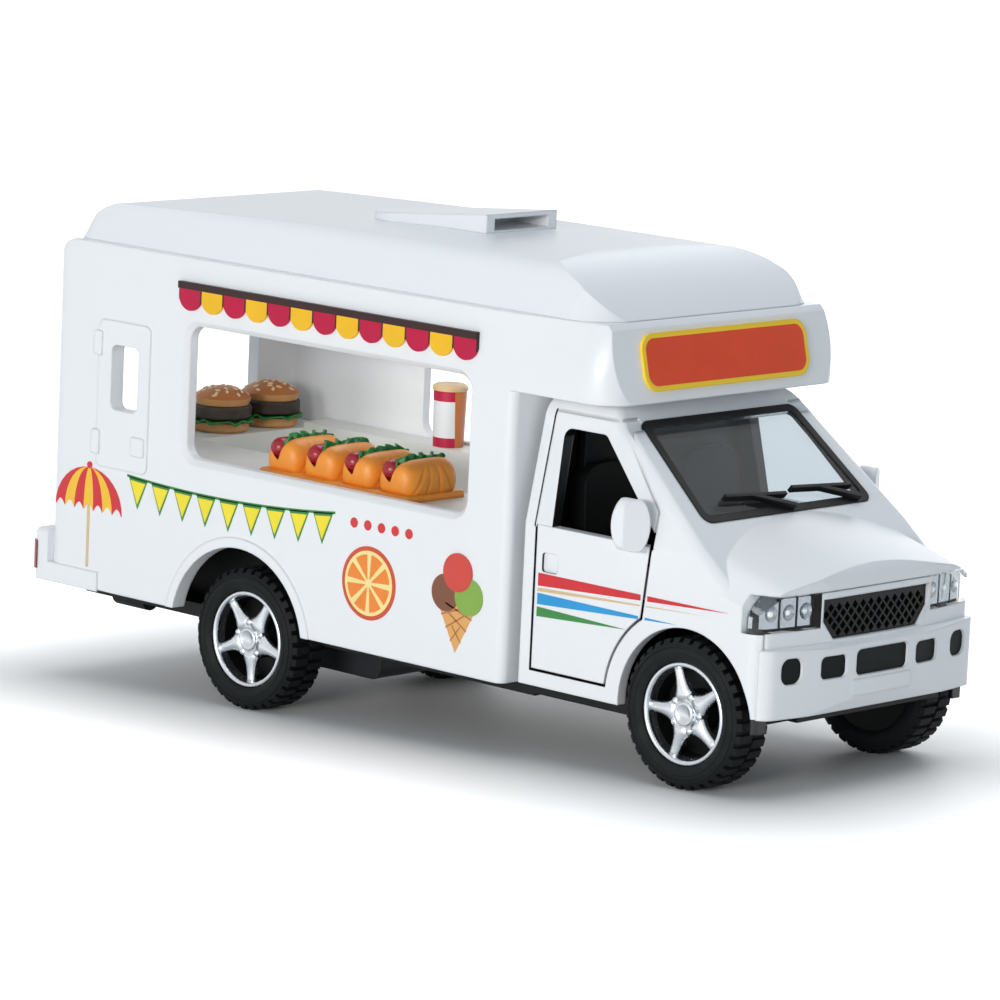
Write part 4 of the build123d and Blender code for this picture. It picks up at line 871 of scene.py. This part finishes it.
def smooth_line(points, steps):
    """A Catmull-Rom curve through all the points of an open line."""
    padded = [points[0], *points, points[-1]]
    curve = []
    for corners in zip(padded, padded[1:], padded[2:], padded[3:]):
        for step in range(steps):
            t = step / steps
            spot = []
            for a, b, c, d in zip(*corners):
                square = (2 * a - 5 * b + 4 * c - d) * t * t
                cube = (3 * b - a - 3 * c + d) * t ** 3
                spot.append(0.5 * (2 * b + (c - a) * t + square + cube))
            curve.append(tuple(spot))
    return curve + [points[-1]]


def crease(y, z):
    """Depth of the creases at a point of a roll's crust."""
    share = max(0.0, min(1.0, z / ROLL_HEIGHT))
    fade = math.sin(math.pi * min(1.0, CREASE_START + CREASE_RISE * share)) ** CREASE_FADE
    lines = (foot * (1 - CREASE_LEAN * share) for foot in CREASES)
    return CREASE_DEPTH * fade * max(math.exp(-((y - line) / CREASE_WIDTH) ** 2) for line in lines)


def on_tray(x, y, z):
    """A point measured from the middle of the tray's foot."""
    return TRAY_MIDDLE[0] + x, TRAY_MIDDLE[1] + y, COUNTER_TOP + z


def roll_middle(number):
    return ROLL_PITCH * (number - (ROLL_COUNT - 1) / 2)


def roll_ring(section, y, middle):
    """The section of a roll at one station, drawn in towards the round ends."""
    full = (1 - min(1.0, abs(y / ROLL_HALF)) ** ROLL_SQUARENESS) ** (1 / ROLL_SQUARENESS)
    full = max(ROLL_END_SIZE, full)
    ring = []
    for across, height in section:
        dent = crease(y, height) if across > CRUST_FRONT or across < CRUST_REAR else 0
        x = ROLL_END[0] + (across - ROLL_END[0] - math.copysign(dent, across)) * full
        z = ROLL_END[1] + (height - ROLL_END[1] - CREASE_SINK * dent) * full
        ring.append(on_tray(middle + x, y, TRAY_THICK + z))
    return ring


def make_rolls(build):
    """The tray and the rolls on it."""
    sections = []
    for inset, z in ((0.0, 0.0), (0.0, TRAY_THICK - TRAY_BEVEL), (TRAY_BEVEL, TRAY_THICK)):
        outline = rounded(TRAY_HALF[0] - inset, TRAY_HALF[1] - inset, TRAY_CORNER - inset)
        sections.append([on_tray(x, y, z) for x, y in outline])
    tube(build, sections)
    section = smooth_line(ROLL_SECTION, ROLL_CURVE_STEPS)
    turns = [math.pi * (station / ROLL_STATIONS - 0.5) for station in range(ROLL_STATIONS + 1)]
    for number in range(ROLL_COUNT):
        tube(build, [roll_ring(section, ROLL_HALF * math.sin(turn), roll_middle(number)) for turn in turns])


def make_hot_dog_lettuce(build):
    """One closed ribbon per roll, waving from side to side and along its upper edge."""
    for number in range(ROLL_COUNT):
        x = roll_middle(number) + LEAF_ASIDE
        sections = []
        for index in range(LEAF_STEPS + 1):
            share = index / LEAF_STEPS
            along = 2 * share - 1
            sway, ripple = (
                sum(size * math.sin(pace * share + shift * number) for size, pace, shift in waves)
                for waves in (LEAF_SWAY, LEAF_RIPPLE))
            top = LEAF_HIGH + ripple - LEAF_DROOP * along ** LEAF_DROOP_POWER
            rows = ((0, LEAF_LOW), (sway, top), (sway + LEAF_THICK, top), (LEAF_THICK, LEAF_LOW))
            sections.append([on_tray(x + aside, LEAF_HALF * along, TRAY_THICK + z) for aside, z in rows])
        tube(build, sections)


rolls = finish_piece("hot_dog_rolls", make_rolls, materials["orange_plastic"], smooth=True)
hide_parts("hot_dog_tray")
leaves = finish_piece(
    "hot_dog_lettuce", make_hot_dog_lettuce, materials["green_food"], smooth=True)
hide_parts("hot_dog_leaves")


# Dark plates just inside the openings of the lower front: painted shade for the hollows behind them
BUMPER_OPENINGS = (
    # y from, y to, z from, z to, corner radius
    (-4.9, 4.9, 6.3, 9.5, 0.8),
    (6.5, 11.0, 6.4, 9.2, 0.8),
    (-11.0, -6.5, 6.4, 9.2, 0.8),
    (14.0, 17.4, 6.3, 9.5, 1.2),
    (-17.4, -14.0, 6.3, 9.5, 1.2),
)
INSERT_ROOM = 0.03
INSERT_BACK = -1.3
INSERT_FACE = -0.35


def nose_at(y):
    """How far forward the bowed nose reaches."""
    return NOSE - NOSE_BOW * (y / CAB_HALF) ** 2


def make_opening_shades(build):
    """Dark plates of painted shade that follow the bow of the nose, a little behind its surface."""
    def surface(y, z, height):
        return nose_at(y) + BUMPER_NOSE + height, y, z

    for y_from, y_to, z_from, z_to, radius in BUMPER_OPENINGS:
        middle = (y_from + y_to) / 2, (z_from + z_to) / 2
        outline = rounded((y_to - y_from) / 2 - INSERT_ROOM, (z_to - z_from) / 2 - INSERT_ROOM, radius)
        outline = [(middle[0] + y, middle[1] + z) for y, z in outline]
        slab(build, outline, surface, INSERT_BACK, INSERT_FACE)


# Near-black paint on the plates stands for the shade inside the openings
opening_shade_paint = plastic(
    "painted_shade_dark", OPENING_SHADE, rough=(0.45, 0.55), mottle=0.1, grain=1400, depth=0.008, shine=0.1)
finish_piece("bumper_opening_shade", make_opening_shades, opening_shade_paint)


# Bulbs in the lamp bowls
BULBS = 3
BULB_IN_CELL = 0.6
BULB_STEPS = 20
BULB_PROFILE = (
    # radius, distance forward from the bottom of the bowl
    (0.0, -0.15), (0.3, -0.15), (0.3, 0.12), (0.42, 0.25), (0.36, 0.45), (0.2, 0.56), (0.0, 0.6),
)


def make_bulbs(build):
    """A pale dome on a short neck at the bottom of each bowl."""
    for sign in (-1, 1):
        for index in range(BULBS):
            y = LAMP_INNER + LAMP_CELL * (index + BULB_IN_CELL)
            x = nose_at(y) - LAMP_DEPTH
            lathe(build, BULB_PROFILE, BULB_STEPS, lambda r, turn, out: (
                x + out, sign * y + r * math.cos(turn), LAMP_MIDDLE + r * math.sin(turn)))


bulb_paint = plastic("bulb_pale", BULB, rough=(0.1, 0.2), mottle=0.03, grain=900, depth=0.003)
finish_piece("lamp_bulbs", make_bulbs, bulb_paint, smooth=True)


# Star-shaped wheel inserts and sidewall rings, in millimetres about each axle
STAR_POINTS = 5
STAR_LOW = 1.2
SPOKE_ANGLE = {"front": 33.0, "rear": 55.0}
SPOKE = (
    # distance from the axle, half width, height of the edges, height of the ridge
    (1.6, 1.5, 1.85, 2.2),
    (2.4, 1.35, 1.8, 2.25),
    (2.9, 1.06, 1.78, 2.24),
    (3.5, 0.86, 1.76, 2.2),
    (4.3, 0.72, 1.76, 2.16),
    (5.2, 0.66, 1.8, 2.14),
    (5.95, 0.72, 1.9, 2.2),
)
SHOULDER_ASIDE = 0.6
SHOULDER_RISE = 0.65
HUB = ((0.0, 1.3), (2.6, 1.3), (2.6, 1.65), (2.4, 1.9), (1.8, 2.1), (0.0, 2.15))
CAP = ((0.0, 1.4), (1.5, 1.4), (1.5, 2.3), (1.4, 2.44), (1.15, 2.48), (1.05, 2.38), (0.0, 2.38))
BOLT = ((0.0, 1.3), (0.48, 1.3), (0.48, 2.0), (0.36, 2.16), (0.0, 2.22))
LIP = (
    (5.62, 1.2), (5.66, 2.2), (5.74, 2.45), (5.92, 2.58),
    (6.12, 2.58), (6.28, 2.46), (6.35, 2.2), (6.35, 1.2),
)
BOLT_CIRCLE = 2.15
RING_STEPS = 72
HUB_STEPS = 40
BOLT_STEPS = 14
SIDEWALL_RINGS = (
    # radius, height above the sidewall
    (7.35, 0.07),
    (8.2, 0.04),
)
RING_DEPTH = 0.5
RING_FOOT_HALF = 0.14
RING_TOP_HALF = 0.08


def spoke_section(half, edge, ridge):
    """Points (aside, outwards) of a spoke's ridged section."""
    shoulder = edge + SHOULDER_RISE * (ridge - edge)
    return (
        (-half, STAR_LOW), (-half, edge), (-SHOULDER_ASIDE * half, shoulder), (0, ridge),
        (SHOULDER_ASIDE * half, shoulder), (half, edge), (half, STAR_LOW),
    )


def make_star(build, angle, sign):
    """Lip ring, five ridged spokes, hub, bolts and centre cap of one wheel, outwards along y."""
    def point(r, turn, out):
        return r * math.cos(turn), sign * (WHEEL_OFFSET + out), r * math.sin(turn)

    tube(build, [[point(r, turn, out) for r, out in LIP] for turn in full_turn(RING_STEPS)], True)
    lathe(build, HUB, HUB_STEPS, point)
    lathe(build, CAP, HUB_STEPS, point)
    for index in range(STAR_POINTS):
        turn = math.radians(angle + 360 / STAR_POINTS * index)
        sections = []
        for r, *shape in SPOKE:
            x, _, z = point(r, turn, 0)
            sections.append([
                (x - aside * math.sin(turn), sign * (WHEEL_OFFSET + out), z + aside * math.cos(turn))
                for aside, out in spoke_section(*shape)])
        tube(build, sections)
        x, _, z = point(BOLT_CIRCLE, turn + math.pi / STAR_POINTS, 0)
        lathe(build, BOLT, BOLT_STEPS, lambda r, around, out: (
            x + r * math.cos(around), sign * (WHEEL_OFFSET + out), z + r * math.sin(around)))


def make_tyre_rings(build):
    """Thin ridges on both outer sidewalls of a wheelset."""
    face_y = WHEEL_OFFSET + TYRE_HALF_WIDTH
    for sign in (-1, 1):
        for radius, stand in SIDEWALL_RINGS:
            section = ((radius - RING_FOOT_HALF, -RING_DEPTH), (radius - RING_TOP_HALF, stand),
                       (radius + RING_TOP_HALF, stand), (radius + RING_FOOT_HALF, -RING_DEPTH))
            sections = []
            for turn in full_turn(RING_STEPS):
                sections.append([(r * math.cos(turn), sign * (face_y + out), r * math.sin(turn))
                                 for r, out in section])
            tube(build, sections, True)


def about_axle(end):
    return Matrix.Translation(joint_at[end + "_wheelset_spin"]) @ Matrix.Scale(MM, 4)


for end in ENDS:
    for side, sign in reversed(SIDES):
        star = finish_piece(
            "wheel_star_%s_%s" % (end, side), lambda build: make_star(build, SPOKE_ANGLE[end], sign),
            materials["bright_chrome"], end + "_wheelset", about_axle(end), True)
        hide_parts("rim_%s_%s" % (end, side))
for end in ENDS:
    finish_piece("tyre_rings_" + end, make_tyre_rings, materials["tyre_rubber"],
                 end + "_wheelset", about_axle(end), True)


# Studio, in metres
FLOOR_SIZE = 6.0
# No painted glow inside this box about the truck and full glow beyond the reach: painted shade near the truck,
# painted light away from it
SHADE_HALF = (0.058, 0.016, 0)
GLOW_REACH = 0.05
GLOW_STRENGTH = 0.75
WORLD_BLUE = (0.66, 0.83, 1.0, 1.0)
WORLD_STRENGTH = 0.31
WHITE_LIGHT = (1.0, 1.0, 1.0)
TRUCK_MIDDLE = (0.0, 0.0, 0.03)
# A faint lamp under the roof stands for the light that comes through the thin white walls
KITCHEN_CEILING = BODY @ Vector((4.0, 0.0, 47.0))
KITCHEN_FLOOR = BODY @ Vector((4.0, 0.0, 10.0))
LAMPS = (
    # name, place, target, size, power, colour
    ("key_softbox", (0.24, -0.92, 0.19), TRUCK_MIDDLE, (0.5, 0.12), 4.8, (1.0, 0.985, 0.96)),
    ("top_softbox", (0.05, 0.1, 1.05), TRUCK_MIDDLE, (0.9, 0.9), 3.8, WHITE_LIGHT),
    ("back_fill", (-0.35, 0.9, 0.4), TRUCK_MIDDLE, (0.6, 0.6), 1.3, (0.9, 0.95, 1.0)),
    ("kitchen_fill", KITCHEN_CEILING, KITCHEN_FLOOR, (0.022, 0.022), 0.0042, WHITE_LIGHT),
)
# The camera stands to the truck's right, ahead of it and a little above, and is slightly rolled
CAMERA_AIM = (0.0, 0.000744, 0.027996)
CAMERA_DISTANCE = 0.679361
CAMERA_AZIMUTH = math.radians(-46.984)
CAMERA_ELEVATION = math.radians(7.815)
CAMERA_ROLL = math.radians(0.728)
CAMERA_LENS = 190.865
CAMERA_SENSOR = 36.0
CAMERA_NEAR = 0.01


def seen_white(tree):
    """One on camera, transmission and glossy rays, which see the studio white, and zero on the others."""
    rays = tree.nodes.new("ShaderNodeLightPath")
    seen = rays.outputs["Is Camera Ray"]
    for kind in ("Is Transmission Ray", "Is Glossy Ray"):
        larger = tree.nodes.new("ShaderNodeMath")
        larger.operation = "MAXIMUM"
        tree.links.new(seen, larger.inputs[0])
        tree.links.new(rays.outputs[kind], larger.inputs[1])
        seen = larger.outputs[0]
    return seen


def make_floor():
    """A pale floor whose glow grows away from the truck: painted light away from it, painted shade near it over
    its real shadow.
    """
    build = bmesh.new()
    bmesh.ops.create_grid(build, x_segments=1, y_segments=1, size=FLOOR_SIZE / 2)
    mesh = bpy.data.meshes.new("floor")
    build.to_mesh(mesh)
    build.free()
    shader = Shader("floor_painted_glow")
    shader.colour(shader.mix(shader.noise(scale=6), FLOOR_DIM, FLOOR_BRIGHT))
    shader.gloss(0.5, 0.6, scale=20)
    folded = shader.add("ShaderNodeVectorMath", operation="ABSOLUTE")
    shader.join(shader.place, folded.inputs[0])
    beyond = shader.add("ShaderNodeVectorMath", operation="SUBTRACT")
    shader.join(folded.outputs[0], beyond.inputs[0])
    beyond.inputs[1].default_value = SHADE_HALF
    outside = shader.add("ShaderNodeVectorMath", operation="MAXIMUM")
    shader.join(beyond.outputs[0], outside.inputs[0])
    away = shader.add("ShaderNodeVectorMath", operation="LENGTH")
    shader.join(outside.outputs[0], away.inputs[0])
    # Painted glow that rises with distance from the truck's footprint
    glow = shader.add("ShaderNodeMapRange", interpolation_type="SMOOTHSTEP")
    shader.join(away.outputs["Value"], glow.inputs["Value"])
    glow.inputs["From Min"].default_value = 0.0
    glow.inputs["From Max"].default_value = GLOW_REACH
    glow.inputs["To Min"].default_value = 0.0
    glow.inputs["To Max"].default_value = GLOW_STRENGTH
    strength = shader.math("MULTIPLY", glow.outputs["Result"], seen_white(shader.tree))
    shader.join(strength, shader.principled.inputs["Emission Strength"])
    shader.set(Emission_Color=(*WHITE_LIGHT, 1.0))
    mesh.materials.append(shader.material)
    floor = bpy.data.objects.new("floor", mesh)
    bpy.context.scene.collection.objects.link(floor)


def make_world():
    """A pale blue surround that looks white itself."""
    world = bpy.data.worlds.new("studio")
    bpy.context.scene.world = world
    world.use_nodes = True
    tree = world.node_tree
    tree.nodes.clear()
    mixer = tree.nodes.new("ShaderNodeMixShader")
    tree.links.new(seen_white(tree), mixer.inputs["Fac"])
    for socket, colour, strength in ((1, WORLD_BLUE, WORLD_STRENGTH), (2, (*WHITE_LIGHT, 1.0), 1.0)):
        light = tree.nodes.new("ShaderNodeBackground")
        light.inputs["Color"].default_value = colour
        light.inputs["Strength"].default_value = strength
        tree.links.new(light.outputs[0], mixer.inputs[socket])
    output = tree.nodes.new("ShaderNodeOutputWorld")
    tree.links.new(mixer.outputs[0], output.inputs["Surface"])


def make_lamp(name, place, target, size, power, colour):
    lamp = bpy.data.lights.new(name, "AREA")
    lamp.shape = "RECTANGLE"
    lamp.size, lamp.size_y = size
    lamp.energy = power
    lamp.color = colour
    holder = bpy.data.objects.new(name, lamp)
    holder.location = place
    holder.rotation_euler = (Vector(place) - Vector(target)).to_track_quat("Z", "Y").to_euler()
    bpy.context.scene.collection.objects.link(holder)


def make_camera():
    camera = bpy.data.cameras.new("camera")
    camera.lens = CAMERA_LENS
    camera.sensor_width = CAMERA_SENSOR
    camera.clip_start = CAMERA_NEAR
    holder = bpy.data.objects.new("camera", camera)
    turn = Matrix.Rotation(CAMERA_AZIMUTH + math.pi / 2, 4, "Z")
    turn = turn @ Matrix.Rotation(math.pi / 2 - CAMERA_ELEVATION, 4, "X")
    turn = turn @ Matrix.Rotation(CAMERA_ROLL, 4, "Z")
    away = Matrix.Translation((0, 0, CAMERA_DISTANCE))
    holder.matrix_world = Matrix.Translation(CAMERA_AIM) @ turn @ away
    bpy.context.scene.collection.objects.link(holder)
    bpy.context.scene.camera = holder


make_floor()
make_world()
for lamp_settings in LAMPS:
    make_lamp(*lamp_settings)
make_camera()
bpy.context.scene.view_settings.view_transform = "Standard"
